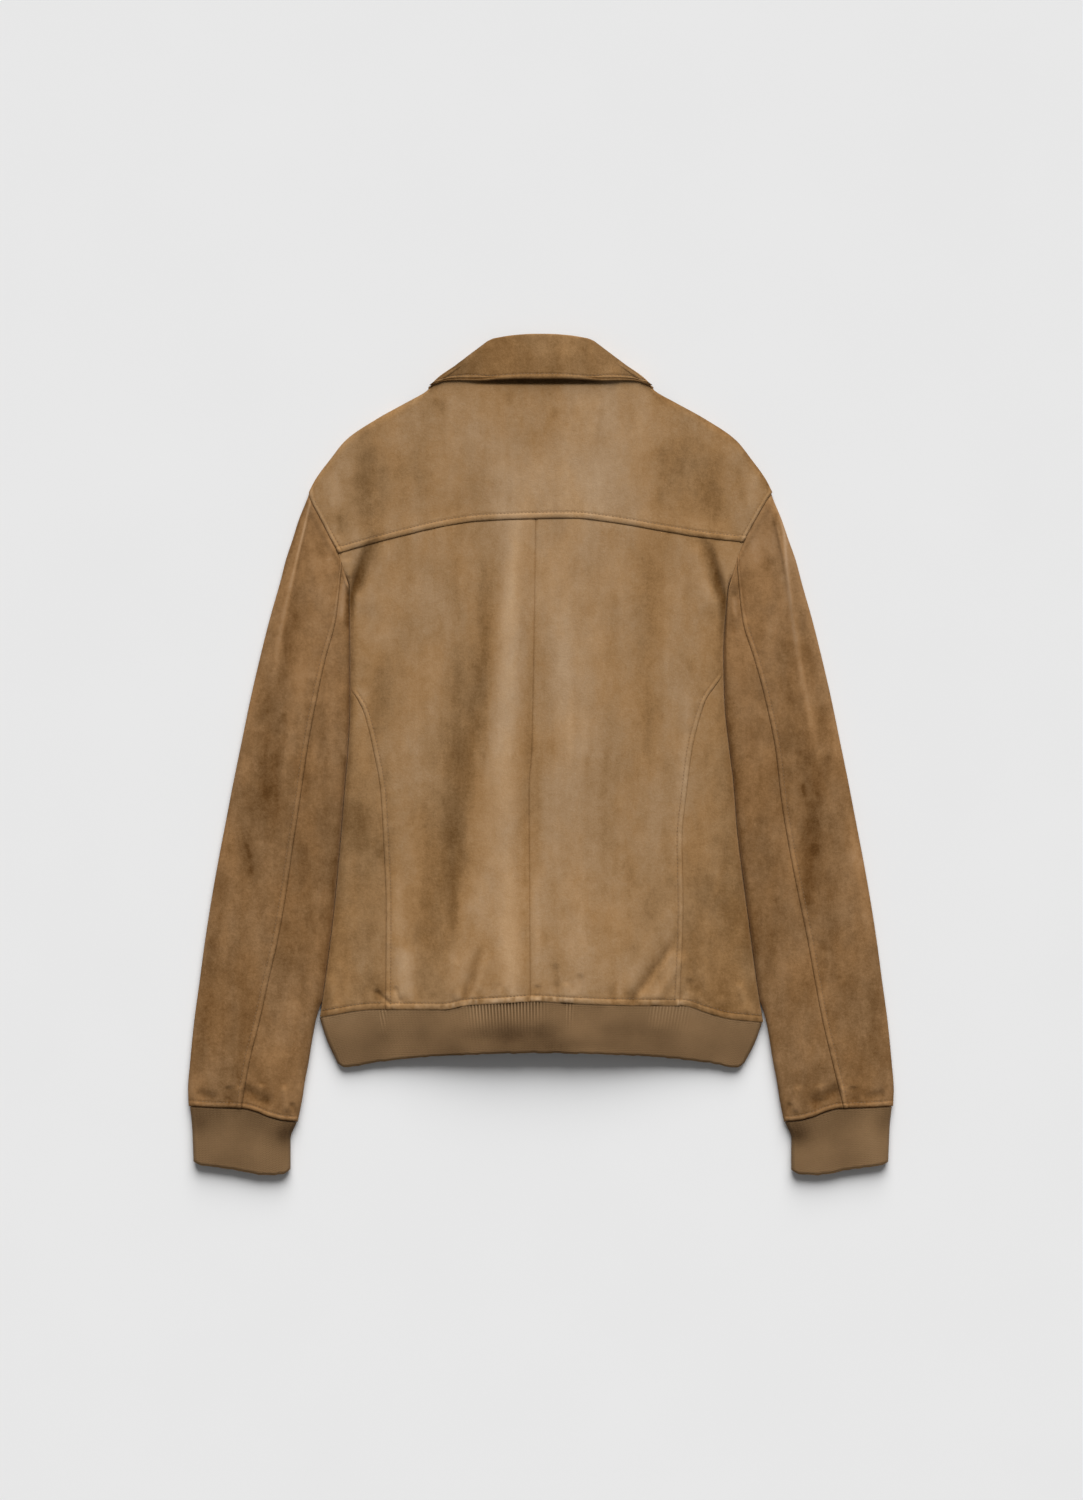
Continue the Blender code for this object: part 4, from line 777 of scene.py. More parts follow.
def nap_and_shade_at(x, y):
    """How the nap lies on the body, from dark to light, at places on the plan, plus painted shade
    in fold troughs and at the body's sides and painted light on fold ridges.
    """
    below_yoke = smooth((240 - y) / 30)
    streaks = 0.32 * chance(x, y, 9, 110, 21) + 0.3 * chance(x, y, 26, 170, 22)
    clouds = 0.28 * chance(x, y, 30, 36, 23) + 0.15 * chance(x, y, 13, 17, 28)
    marks = fold_relief(BRUSH_AND_PAINTED_LIGHT_MARKS, x, y) + path_relief(BRUSH_PATHS, x, y)
    # Painted shade in the troughs of the folds and painted light on their ridges, following their
    # heights.
    troughs = path_relief(LONG_FOLDS[:2], x, y)
    folds = 0.35 * fold_relief(BACK_FOLDS, x, y) + 0.75 * troughs
    folds = folds + 0.45 * path_relief(LONG_FOLDS[2:], x, y)
    # Painted shade towards the body's sides, where the cloth rounds down to its folds.
    sides = smooth((np.abs(x) - 135) / 15) * smooth((120 - y) / 60)
    right = smooth((x - 10) / 20) * smooth((120 - x) / 20)
    aside = 0.75 * right * smooth((y + 20) / 60)
    aside = aside - 0.55 * smooth((x - 50) / 40) * smooth((-60 - y) / 60)
    return 0.35 + marks + folds + streaks * below_yoke + clouds + aside - 0.75 * sides


def sleeve_nap_and_shade(x, y):
    """The same on the sleeves, which are darker towards the cuffs and spotted, with painted shade
    in the folds' troughs and painted light on their ridges.
    """
    spots = np.clip(chance(x, y, 9, 14, 24) - 0.4, 0, 1)
    spots = spots + np.clip(chance(x, y, 5, 7, 25) - 0.55, 0, 1)
    streaks = 0.25 * chance(x, y, 12, 70, 26) + 0.3 * chance(x, y, 28, 60, 27)
    marks = fold_relief(SLEEVE_MARKS, x, y) + path_relief(SLEEVE_PATHS, x, y)
    base = SLEEVE_BASE + (SLEEVE_BASE_LOW - SLEEVE_BASE) * smooth((100 - y) / 160)
    # Painted shade and light follow the sleeves' folds: darker in troughs, lighter on ridges.
    return base + marks + 0.5 * fold_relief(SLEEVE_FOLDS, np.abs(x), y) + streaks - 0.45 * spots


def painted_rim_shade(inset):
    """Painted shade where the cloth rolls down over the shoulder's fold."""
    return -2.0 * bell(inset, 5.5)


def painted_crease_shade_and_light(inset):
    """Painted shade beside a fold that presses on its neighbour, and painted light in the line
    itself, to soften the groove's own dark line.
    """
    return 1.9 * bell(inset, 1.4) - 1.15 * bell(inset, 6.5)


# %% [markdown]
# ## A wall of cloth
#
# Every piece is a grid of points on its outer face, and the points behind them on the
# inner face, closed all round its edge. The inner face keeps fewer columns, since
# nobody sees it.

# %% From a grid to a closed piece
PIECES = {}


def turn_outward(mesh):
    """Turn a closed mesh's faces outwards and shade it smooth."""
    bm = bmesh.new()
    bm.from_mesh(mesh)
    bmesh.ops.recalc_face_normals(bm, faces=bm.faces)
    bm.to_mesh(mesh)
    bm.free()
    mesh.shade_smooth()


def link_mesh(name, mesh, material):
    piece = bpy.data.objects.new(name, mesh)
    bpy.context.scene.collection.objects.link(piece)
    mesh.materials.append(material)
    PIECES[name] = piece
    return piece


def cloth(name, outer, inner, material, nap_and_shade, ring=False, step=1, uv=None):
    """A closed wall between a grid of outer points and a grid of inner points, in mm."""
    rows, cols = outer.shape[:2]
    kept = np.arange(0, cols, step)
    verts = np.concatenate([outer.reshape(-1, 3), inner[:, kept].reshape(-1, 3)]) * MM
    values = np.concatenate([nap_and_shade.reshape(-1), nap_and_shade[:, kept].reshape(-1)])
    base = rows * cols
    out = np.arange(base).reshape(rows, cols)
    low = base + np.arange(rows * len(kept)).reshape(rows, len(kept))
    if ring:
        out = np.concatenate([out, out[:, :1]], 1)
        low = np.concatenate([low, low[:, :1]], 1)
    faces = np.stack([out[:-1, :-1], out[:-1, 1:], out[1:, 1:], out[1:, :-1]], -1)
    behind = np.stack([low[:-1, :-1], low[1:, :-1], low[1:, 1:], low[:-1, 1:]], -1)
    faces = faces.reshape(-1, 4).tolist() + behind.reshape(-1, 4).tolist()
    ends = list(kept) + ([cols] if ring else [])
    for r in (0, rows - 1):
        for k in range(len(ends) - 1):
            edge = out[r, ends[k] : ends[k + 1] + 1].tolist()
            faces.append(edge + [int(low[r, k + 1]), int(low[r, k])])
    if not ring:
        for c, k in ((0, 0), (-1, -1)):
            side = np.stack([out[:-1, c], out[1:, c], low[1:, k], low[:-1, k]], -1)
            faces += side.tolist()
    mesh = bpy.data.meshes.new(name)
    mesh.from_pydata(verts.tolist(), [], faces)
    nap_layer = mesh.attributes.new("nap_and_shade", "FLOAT", "POINT")
    nap_layer.data.foreach_set("value", values.astype(np.float32))
    if uv is not None:
        places = np.concatenate([uv.reshape(-1, 2), uv[:, kept].reshape(-1, 2)])
        loops = np.empty(len(mesh.loops), np.int32)
        mesh.loops.foreach_get("vertex_index", loops)
        layer = mesh.uv_layers.new(name="UVMap")
        layer.data.foreach_set("uv", places[loops].astype(np.float32).reshape(-1))
    turn_outward(mesh)
    mesh.set_sharp_from_angle(angle=math.radians(60))
    print(f"{name}: {len(faces)} faces")
    return link_mesh(name, mesh, material)


# %% [markdown]
# Topstitching is a row of short threads, each a little sunk at its ends. One stitch is
# a slim six-sided bead, and each row copies it along a line of points on the panel.

# %% A row of stitches
STITCH = 3.4
STITCH_LENGTH = 2.5
STITCH_RADIUS = 0.28
STITCH_LIFT = 0.22
STITCH_SINK = 0.3
STITCH_SIDES = 6


def stitch_row(name, points):
    """Stitches along a line of points (mm) that lie on a panel's outer face."""
    steps = np.linalg.norm(np.diff(points, axis=0), axis=1)
    along = summed(steps)
    at = np.arange(STITCH, along[-1] - STITCH / 2, STITCH)
    ends = [
        np.stack([np.interp(at + half, along, points[:, k]) for k in range(3)], 1)
        for half in (-STITCH_LENGTH / 2, STITCH_LENGTH / 2)
    ]
    verts, faces = [], []
    turns = np.linspace(0, 2 * math.pi, STITCH_SIDES + 1)[:-1]
    ring = [(math.cos(a), math.sin(a)) for a in turns]
    for start, end in zip(*ends):
        run = (end - start) / np.linalg.norm(end - start)
        across = np.cross(run, (0, 0, 1))
        across /= np.linalg.norm(across)
        up = np.cross(across, run)
        base = len(verts)
        verts.append(start + up * (STITCH_LIFT - STITCH_SINK))
        for share, size in ((0.15, 0.75), (0.5, 1.0), (0.85, 0.75)):
            centre = start + (end - start) * share + up * STITCH_LIFT
            verts += [centre + (across * c + up * s) * STITCH_RADIUS * size for c, s in ring]
        verts.append(end + up * (STITCH_LIFT - STITCH_SINK))
        first, middle, third = (base + 1 + STITCH_SIDES * r for r in range(3))
        last = third + STITCH_SIDES
        for k in range(STITCH_SIDES):
            n = (k + 1) % STITCH_SIDES
            faces.append((base, first + n, first + k))
            for low, high in ((first, middle), (middle, third)):
                faces.append((low + k, low + n, high + n, high + k))
            faces.append((third + k, third + n, last))
    mesh = bpy.data.meshes.new(name)
    mesh.from_pydata((np.array(verts) * MM).tolist(), [], faces)
    turn_outward(mesh)
    print(f"{name}: {len(at)} stitches")
    return link_mesh(name, mesh, THREAD)


# %% [markdown]
# ## The back and side panels
#
# The back is two panels with a seam down the middle, and a side panel that wraps round
# each fold to the front. All four lie on one surface, so that surface is written once:
# rows that follow the hem's line below and the yoke's line above, and the length of
# cloth from the side fold. Each panel is a part of it, cut out along its seams.

# %% The body's surface
ROUNDS = 5


def row_y(nominal, x):
    """Height on the plan of a row that bends to the hem's line and to the yoke's."""
    hem = line_at(HEM_SEAM, x) - HEM_Y + HEM_EASE
    yoke = line_at(YOKE_SEAM, x) - YOKE_Y
    low = 1 - smooth((nominal - HEM_Y) / ROW_FADE)
    high = 1 - smooth((YOKE_Y - nominal) / ROW_FADE)
    return nominal + hem * low + yoke * high


def side_row_y(side, nominal):
    """Where a row meets the side fold, found in a few rounds."""
    y = nominal + 0.0
    for _ in range(ROUNDS):
        y = row_y(nominal, side * side_edge(side, y))
    return y


def fold_share(side, nominal):
    """How far the body is folded under: whole below the armhole, not at all above it."""
    return 1 - smooth((side_row_y(side, nominal) - UNDERARM_Y) / ARMHOLE_OPENS)


def line_arc(side, nominal, table):
    """Length of cloth from the side fold to where a row crosses a seam given over y."""
    x = side * 100.0 + 0 * nominal
    for _ in range(ROUNDS):
        y = row_y(nominal, x)
        if table is CENTRE_BACK:
            x = line_at(table, y)
        else:
            x = side * side_column(table, side, y)
    inset = np.maximum(side_edge(side, y) - side * x, SEAM_IN_FOLD)
    return arc_of_inset(inset, SIDE_ROLL, fold_share(side, nominal))


def side_seam_arc(side, nominal):
    above = side_row_y(side, nominal) >= UNDERARM_Y
    return np.where(above, 0.0, line_arc(side, nominal, SIDE_SEAM))


HEM_WELT = 6.4
SIDE_WELT = 5.0


def body_surface(side, nominal, arc):
    """Outer and inner points, and nap, at rows and lengths of cloth from the side fold."""
    share = fold_share(side, nominal)
    inset, angle = fold_station(arc, SIDE_ROLL, share)
    y = side_row_y(side, nominal)
    for _ in range(ROUNDS):
        x = side * (side_edge(side, y) - inset)
        y = row_y(nominal, x)
    from_hem = y - line_at(HEM_SEAM, x)
    from_yoke = line_at(YOKE_SEAM, x) - y
    from_centre = np.abs(x - line_at(CENTRE_BACK, y))
    seam = side_seam_arc(side, nominal)
    top = back_height(x, y)
    pulled = bell(x + 30, 48) + 0.5 * bell(x - 122, 26)
    gathers = (0.35 + pulled) * chance(x, 0 * x, 2.8, 50, 33)
    gathers = gathers * np.sin(math.pi * np.clip(from_hem / HEM_WELT, 0, 1))
    gathers = gathers * (from_hem > 0)
    top = top + welt(from_hem, HEM_WELT, x, 0.6, 31, 3.4)
    top = top + turned_edge(from_hem, 0.3, 0.6) + 0.4 * gathers
    rucks = chance(x, y, 6.5, 14, 35) * bell(from_hem - 11, 8)
    top = top + 0.7 * rucks
    top = top + turned_edge(from_yoke, 0.3, 1.0) + turned_edge(from_centre, 0.7, 0.8)
    top = top - 0.25 * bell(from_centre, 4.0)
    shown = smooth((seam - 2) / 6)
    beside = welt(arc - seam, SIDE_WELT, y, 0.6, 41) + turned_edge(arc - seam, 0.35, 0.7)
    top = top + shown * beside
    level = fold_height(angle, top, FOLD_MID)
    lit = -0.1 + 1.3 * bell(x + 32, 45) + 0.9 * bell(x - 26, 6)
    nap_and_shade = nap_and_shade_at(x, y) + seam_tone(from_hem, HEM_WELT, lit, -0.9, -0.5)
    nap_and_shade = nap_and_shade + painted_seam_line_shade(from_centre, -0.9)
    nap_and_shade = nap_and_shade - 0.5 * bell(x - line_at(CENTRE_BACK, y) + 3.5, 3.5) * smooth((150 - y) / 100)
    # Painted shade and light follow the gathers and rucks above the hem: darker where they sink,
    # lighter where they rise.
    nap_and_shade = nap_and_shade + 2.6 * gathers + 0.85 * rucks + painted_seam_line_shade(from_yoke, -0.9)
    nap_and_shade = nap_and_shade + shown * seam_tone(arc - seam, SIDE_WELT, 0.6, -0.3, -0.3)
    # Painted shade on the body beside its crease with the sleeve, and painted light in the
    # crease's line.
    nap_and_shade = nap_and_shade + painted_crease_shade_and_light(inset) * smooth((165 - y) / 20)
    return (*cloth_points(x, y, -side, 0.0, angle, level, SUEDE_WALL), nap_and_shade)


def body_rows():
    """Rows lie close at the hem, under the armholes and at the yoke."""
    spans = (
        (HEM_Y, HEM_Y + 11, 0.8),
        (HEM_Y + 11, -186, 1.4),
        (-186, 100, 3.0),
        (100, YOKE_Y - 6, 1.5),
        (YOKE_Y - 6, YOKE_Y - YOKE_GAP - 0.2, 1.0),
    )
    parts = [np.arange(low, high, step) for low, high, step in spans]
    return np.concatenate([*parts, [YOKE_Y - YOKE_GAP]])[:, None]


# %% Back panels
def back_panel(name, side):
    rows = body_rows()
    centre = line_arc(side, rows, CENTRE_BACK) - SEAM_GAP / 2
    seam = side_seam_arc(side, rows) + SEAM_GAP / 2
    near_seam = seam + np.linspace(0, 8, 11)[None]
    near_centre = centre - np.linspace(4, 0, 5)[None]
    between = near_centre[:, :1] - near_seam[:, -1:]
    middle = near_seam[:, -1:] + between * np.linspace(0, 1, 112)[None, 1:-1]
    arcs = np.concatenate([near_seam, middle, near_centre], 1)
    outer, inner, nap_and_shade = body_surface(side, rows + 0 * arcs, arcs)
    return cloth(name, outer, inner, BODY_SUEDE, nap_and_shade, step=3)


for hand, side in HANDS:
    back_panel(f"back_panel_{hand}", side)

# %% Side panels
UNDERARM_NOMINAL = 168.0


def side_panel(name, side):
    rows = body_rows()
    rows = np.concatenate([rows[rows[:, 0] < UNDERARM_NOMINAL], [[UNDERARM_NOMINAL]]])
    seam = side_seam_arc(side, rows) - SEAM_GAP / 2
    front = under_arc(line_at(FRONT_SEAM, side_row_y(side, rows))) + SEAM_GAP / 2
    top = seam * (1 - np.linspace(0, 1, 36)[None])
    under = front * np.linspace(0, 1, 16)[None, 1:]
    arcs = np.concatenate([top, under], 1)
    outer, inner, nap_and_shade = body_surface(side, rows + 0 * arcs, arcs)
    return cloth(name, outer, inner, BODY_SUEDE, nap_and_shade, step=3)


for hand, side in HANDS:
    side_panel(f"side_panel_{hand}", side)


# %% Stitches beside the side seams and above the hem
def side_seam_stitches(name, side):
    rows = np.linspace(HEM_Y + 3, 60, 400)
    arc = side_seam_arc(side, rows) + SIDE_WELT
    shown = arc > SIDE_ROLL * 1.35
    return stitch_row(name, body_surface(side, rows[shown], arc[shown])[0])


def hem_stitches(name, side, start, end):
    nominal = np.full(500, HEM_Y + HEM_WELT)
    return stitch_row(name, body_surface(side, nominal, np.linspace(start, end, 500))[0])


for hand, side in HANDS:
    side_seam_stitches(f"side_seam_stitches_{hand}", side)
for hand, side in HANDS:
    nominal = np.array([HEM_Y + HEM_WELT])
    seam = float(side_seam_arc(side, nominal)[0])
    centre = float(line_arc(side, nominal, CENTRE_BACK)[0])
    hem_stitches(f"hem_stitches_back_{hand}", side, seam + 2, centre - 1)
    hem_stitches(f"hem_stitches_side_{hand}", side, 2, seam - 1)

# %% [markdown]
# ## The yoke
#
# One piece runs across both shoulders. Its lower edge is turned under and lies on the
# back panels, with topstitching a finger's width above. At the shoulders it rolls over
# to the fronts, so there is no seam along the shoulder's outline.

# %% The yoke's surface
YOKE_WELT = 6.3
ARMHOLE_WELT = 4.2
YOKE_END = (
    # x, angle in degrees where the yoke's rolled edge ends: -90 is flat under the shoulder
    (0, 22), (84, 44), (96, 10), (126, 10), (142, -90),
)


def shoulder_point(side, share):
    """Outline from the armhole (share 0) to the centre of the neck (share 1)."""
    x, y = columns(SHOULDER)
    steps = np.hypot(np.diff(x), np.diff(y))
    along = summed(steps) / steps.sum()
    return side * curve(share, along, x), curve(share, along, y)


def shoulder_roll(x):
    """Radius of the yoke's fold: it is pressed sharper under the collar's ends."""
    pressed = smooth((np.abs(x) - 78) / 10) * smooth((122 - np.abs(x)) / 12)
    return SHOULDER_ROLL + (NECK_SIDE_ROLL - SHOULDER_ROLL) * pressed


def armhole_bow(side, share):
    """How far the armhole lies off a straight line down the yoke's end, in x."""
    top_x, top_y = SHOULDER[0]
    low_y = side_row_y(side, np.array([YOKE_Y]))[0]
    low_x = side_edge(side, low_y) - SEAM_GAP
    armhole = side_edge(side, top_y + (low_y - top_y) * share) - SEAM_GAP
    return side * (armhole - top_x - (low_x - top_x) * share)


def yoke_surface(side, share, arc_of):
    """The yoke at shares from armhole to centre, and at the lengths that arc_of gives."""
    top_x, top_y = shoulder_point(side, share)
    roll = shoulder_roll(top_x)
    quarter = roll * math.pi / 2
    corner = side_row_y(side, np.array([YOKE_Y]))[0]
    low_x = side * (side_edge(side, corner) - SEAM_GAP) * (1 - share)
    low_y = line_at(YOKE_SEAM, low_x)
    length = np.hypot(low_x - top_x, low_y - top_y)
    in_x, in_y = (low_x - top_x) / length, (low_y - top_y) / length
    end_angle = np.radians(line_at(YOKE_END, np.abs(top_x)))
    end_arc = np.where(end_angle > 0, quarter, FOLD_MID * math.pi / 2) * end_angle * 2 / math.pi
    arc = arc_of(length - roll + quarter, end_arc, quarter)
    inset, angle = fold_station(arc, roll)
    x = top_x + in_x * inset + armhole_bow(side, inset / length) * (1 - smooth(share * 6))
    y = top_y + in_y * inset
    armhole = side * (side_edge(side, y) - SEAM_GAP)
    x = np.where(share < 0.5, side * np.minimum(np.abs(x), np.abs(armhole)), x)
    from_seam = y - line_at(YOKE_SEAM, x)
    from_armhole = 0.9 * np.abs(armhole - x)
    top = back_height(x, y) + YOKE_LAP * bell(from_seam, 14)
    top = top + welt(from_seam, YOKE_WELT, x, 0.6, 51) + turned_edge(from_seam, 0.4, 0.7)
    beside = (y < SHOULDER[0][1] + 8) * 1.0
    edge = welt(from_armhole, ARMHOLE_WELT, y, 0.7, 55) + turned_edge(from_armhole, 0.4, 0.7)
    top = top + beside * edge
    level = fold_height(angle, top, FOLD_MID)
    nap_and_shade = nap_and_shade_at(x, y) + seam_tone(from_seam, YOKE_WELT, -0.3, -0.45, -0.7)
    nap_and_shade = nap_and_shade + beside * seam_tone(from_armhole, ARMHOLE_WELT, 0.6, -0.7, -0.3)
    # Painted shade along the yoke's rolled shoulder edges, stronger on the right.
    nap_and_shade = nap_and_shade + (0.8 + 0.3 * side) * painted_rim_shade(inset)
    # Painted shadow on the yoke under the middle of the collar leaf's edge.
    nap_and_shade = nap_and_shade - 2.3 * smooth((y - 357) / 4) * smooth((74 - np.abs(x)) / 30)
    return (*cloth_points(x, y, in_x, in_y, angle, level, SUEDE_WALL), nap_and_shade)


# %% Yoke piece and its stitches
def yoke_arcs(length, end_arc, quarter):
    """Lengths of cloth along each line of the yoke: close at the seam and round the edge."""
    low = length - np.linspace(0, 9, 12)[None]
    middle = low[:, -1:] + (quarter - low[:, -1:]) * np.linspace(0, 1, 60)[None, 1:]
    rolled = quarter + (end_arc - quarter) * np.linspace(0, 1, 14)[None, 1:]
    return np.concatenate([low, middle, rolled], 1)


def yoke_piece(name):
    shares = np.concatenate([np.linspace(0, 0.06, 12), np.linspace(0.06, 1, 110)[1:]])[:, None]
    halves = [yoke_surface(side, shares, yoke_arcs) for side in (-1, 1)]
    outer, inner, nap_and_shade = (joined(left, right) for left, right in zip(*halves))
    return cloth(name, outer, inner, BODY_SUEDE, nap_and_shade, step=3)


def yoke_stitches(name):
    shares = np.linspace(0.022, 1, 400)

    def above_seam(length, end, quarter):
        return length - YOKE_WELT

    left, right = (yoke_surface(side, shares, above_seam)[0] for side in (-1, 1))
    return stitch_row(name, joined(left, right))


def armhole_stitches(name, side):
    """A row that keeps its distance from the armhole all the way down."""
    down = np.linspace(0.03, 0.9, 120)
    shares = 0.0235 - 0.006 * down

    def along(length, end, quarter):
        return length + (quarter - length) * down

    return stitch_row(name, yoke_surface(side, shares, along)[0])


for hand, side in HANDS:
    armhole_stitches(f"armhole_stitches_{hand}", side)
yoke_piece("yoke")
yoke_stitches("yoke_stitches")

# %% [markdown]
# ## The sleeves
#
# Each sleeve is cut in two. The upper sleeve goes over the outer fold and the under
# sleeve over the inner fold, and they meet in a topstitched seam on the back and in a
# plain one underneath. Rows of cloth swing from the armhole's slant to the cuff's.

# %% The sleeve's surface
SLEEVE_LENGTH = 590


def sleeve_inner_x(side, y):
    beside = side_edge(side, y) + SLEEVE_CLEARANCE
    return np.where(y > SLEEVE_INNER[0][0], beside, line_at(SLEEVE_INNER, y))


def sleeve_roll(from_outer):
    return SLEEVE_ROLL if from_outer else SIDE_ROLL


def sleeve_line(side, v, share):
    """A place at a share down the sleeve and a share from its outer fold, and its row."""
    outer_y = SHOULDER_POINT_Y + (CUFF_OUTER_Y - SHOULDER_POINT_Y) * v
    inner_y = UNDERARM_Y + (CUFF_INNER_Y - UNDERARM_Y) * v
    outer_x = line_at(SLEEVE_OUTER, outer_y)
    inner_x = sleeve_inner_x(side, inner_y)
    first = line_at(SLEEVE_OUTER, SHOULDER_POINT_Y)
    last = side_edge(side, UNDERARM_Y) + SLEEVE_CLEARANCE
    armhole_y = SHOULDER_POINT_Y + (UNDERARM_Y - SHOULDER_POINT_Y) * share
    clear = SEAM_GAP + (SLEEVE_CLEARANCE - SEAM_GAP) * share
    head = side_edge(side, armhole_y) + clear - (first + (last - first) * share)
    cuff = line_at(CUFF_SEAM, share) + CUFF_EASE
    cuff = cuff - (CUFF_OUTER_Y + (CUFF_INNER_Y - CUFF_OUTER_Y) * share)
    x = outer_x + (inner_x - outer_x) * share + head * (1 - smooth(v / ARMHOLE_SHARE))
    y = outer_y + (inner_y - outer_y) * share + cuff * (1 - smooth((1 - v) / ARMHOLE_SHARE))
    width = np.hypot(inner_x - outer_x, inner_y - outer_y)
    return x, y, (inner_x - outer_x) / width, (inner_y - outer_y) / width, width


def sleeve_width(side, v):
    return sleeve_line(side, v, 0.5 + 0 * v)[4]


def seam_shares(side, v):
    """Where the back seam crosses each row of the sleeve."""
    table_v = np.linspace(0, 1, 161)
    shares = np.linspace(0.2, 0.95, 151)
    x, y = sleeve_line(side, table_v[:, None], shares[None])[:2]
    past = side_column(SLEEVE_SEAM, side, y) - x
    found = np.array([np.interp(0.0, row, shares) for row in past])
    return np.interp(v, table_v, found)


SLEEVE_WELT = 5.4
CUFF_WELT = 5.6
SLEEVE_CROWN = 1.8


def sleeve_surface(side, v, arc, from_outer):
    """Outer and inner points, and nap, at rows and lengths of cloth from either fold."""
    inset, angle = fold_station(arc, sleeve_roll(from_outer))
    width = sleeve_width(side, v)
    share = inset / width if from_outer else 1 - inset / width
    x, y, run_x, run_y, width = sleeve_line(side, v, share)
    from_seam = (seam_shares(side, v) - share) * width
    from_head = v * SLEEVE_LENGTH
    from_cuff = (1 - v) * SLEEVE_LENGTH
    crown = SLEEVE_CROWN * np.sin(math.pi * share) * smooth(v / 0.2) * smooth((1 - v) / 0.1)
    top = BODY_HEIGHT + crown + fold_relief(SLEEVE_FOLDS, x, y)
    top = top + path_relief(LONG_SLEEVE_FOLDS, x, y)
    top = top + 0.55 * chance(side * x, y, 24, 70, 61 + side)
    top = top + 0.25 * chance(side * x, y, 12, 26, 64 + side)
    top = top + welt(from_seam, SLEEVE_WELT, y, 0.7, 71) + turned_edge(from_seam, 0.45, 0.7)
    top = top + welt(from_cuff, CUFF_WELT, x, 0.7, 81, 5.0) + turned_edge(from_cuff, 0.8, 0.9)
    top = top + turned_edge(from_head, 0.45, 0.8) + 0.7 * bell(from_head - 5, 4)
    top = top + 0.6 * chance(x, y, 7, 22, 85) * bell(from_cuff, 22)
    level = fold_height(angle, top, FOLD_MID)
    way = 1 if from_outer else -1
    outer, inner = cloth_points(x, y, way * run_x, way * run_y, angle, level, SUEDE_WALL)
    nap_and_shade = sleeve_nap_and_shade(side * x, y) + seam_tone(from_seam, SLEEVE_WELT, 0.5, -0.3, -0.5)
    nap_and_shade = nap_and_shade + seam_tone(from_cuff, CUFF_WELT, 0.4, -0.6, -0.9)
    nap_and_shade = nap_and_shade + painted_seam_line_shade(from_head, -0.3)
    # The under sleeve's inner fold gets the same painted shade and light beside the body.
    if not from_outer:
        nap_and_shade = nap_and_shade + painted_crease_shade_and_light(inset) * smooth((170 - y) / 20) * smooth((y + 262) / 14)
    flip = np.array([side, 1, 1])
    return outer * flip, inner * flip, nap_and_shade


# %% Sleeve pieces
def sleeve_rows():
    """Rows lie close at the armhole and at the cuff."""
    stops, counts = (0, 0.02, 0.25, 0.93, 0.982, 1), (10, 84, 150, 24, 14)
    parts = [np.linspace(*span)[:-1] for span in zip(stops, stops[1:], counts)]
    return np.concatenate([*parts, [1.0]])[:, None]


def sleeve_piece(name, side, from_outer):
    v = sleeve_rows()
    width = sleeve_width(side, v)
    seam = seam_shares(side, v)
    roll = sleeve_roll(from_outer)
    quarter = roll * math.pi / 2
    top_run = (seam if from_outer else 1 - seam) * width - SEAM_GAP
    under_run = (UNDER_SEAM if from_outer else 1 - UNDER_SEAM) * width - SEAM_GAP
    start = top_run + quarter - roll
    end = under_arc(under_run)
    near = start - np.linspace(0, 7.5, 10)[None]
    flat = near[:, -1:] * (1 - np.linspace(0, 1, 90 if from_outer else 56)[None, 1:])
    under = end * np.linspace(0, 1, 20)[None, 1:]
    arcs = np.concatenate([near, flat, under], 1)
    outer, inner, nap_and_shade = sleeve_surface(side, v + 0 * arcs, arcs, from_outer)
    return cloth(name, outer, inner, SLEEVE_SUEDE, nap_and_shade, step=3)


def sleeve_stitches(name, side):
    v = np.linspace(0.12, 0.985, 700)
    seam = seam_shares(side, v) * sleeve_width(side, v)
    arc = seam - SLEEVE_WELT + SLEEVE_ROLL * (math.pi / 2 - 1)
    return stitch_row(name, sleeve_surface(side, v, arc, True)[0])


def cuff_stitches(name, side, from_outer, share0, share1):
    v = np.full(200, 1 - CUFF_WELT / SLEEVE_LENGTH)
    share = np.linspace(share0, share1, 200)
    run = (share if from_outer else 1 - share) * sleeve_width(side, v)
    arc = arc_of_inset(run, sleeve_roll(from_outer))
    return stitch_row(name, sleeve_surface(side, v, arc, from_outer)[0])


for hand, side in HANDS:
    sleeve_piece(f"upper_sleeve_{hand}", side, True)
    sleeve_piece(f"under_sleeve_{hand}", side, False)
    sleeve_stitches(f"sleeve_stitches_{hand}", side)
    seam = float(seam_shares(side, np.array([0.99]))[0])
    cuff_stitches(f"cuff_stitches_upper_{hand}", side, True, 0.04, seam - 0.02)
    cuff_stitches(f"cuff_stitches_under_{hand}", side, False, seam + 0.02, 0.97)

# %% [markdown]
# ## Knitted hem and cuffs
#
# Rib knit is columns of loops that stand out, with furrows between. The band is folded
# double, so its lower edge is round, and the suede is gathered a little where the two
# meet. Each rib is real relief here, a few points wide.

# %% Rib relief
RIB_RELIEF = 0.3
RIB_SAMPLES = 8
LOOP_PITCH = 1.7
BAND_LENGTH = 50
STRETCHED = (
    # x0, y0, x1, y1, half width, amount: where the seam pulls the ribs open
    (-67, 0, 0, 0, 17, 1), (-156, 0, -150, 0, 10, 0.4), (24, 0, 31, 0, 5, 0.5),
    (105, 0, 142, 0, 12, 0.4),
)
BAND_FOLDS = (
    # x0, y0, x1, y1, half width, height: where the band dips between the seam and its edge
    (-70, -272, 10, -270, 9, -1.3), (-20, -283, 80, -280, 7, -0.6),
    (60, -268, 120, -270, 8, -0.6), (-160, -276, -110, -272, 9, -0.5),
)


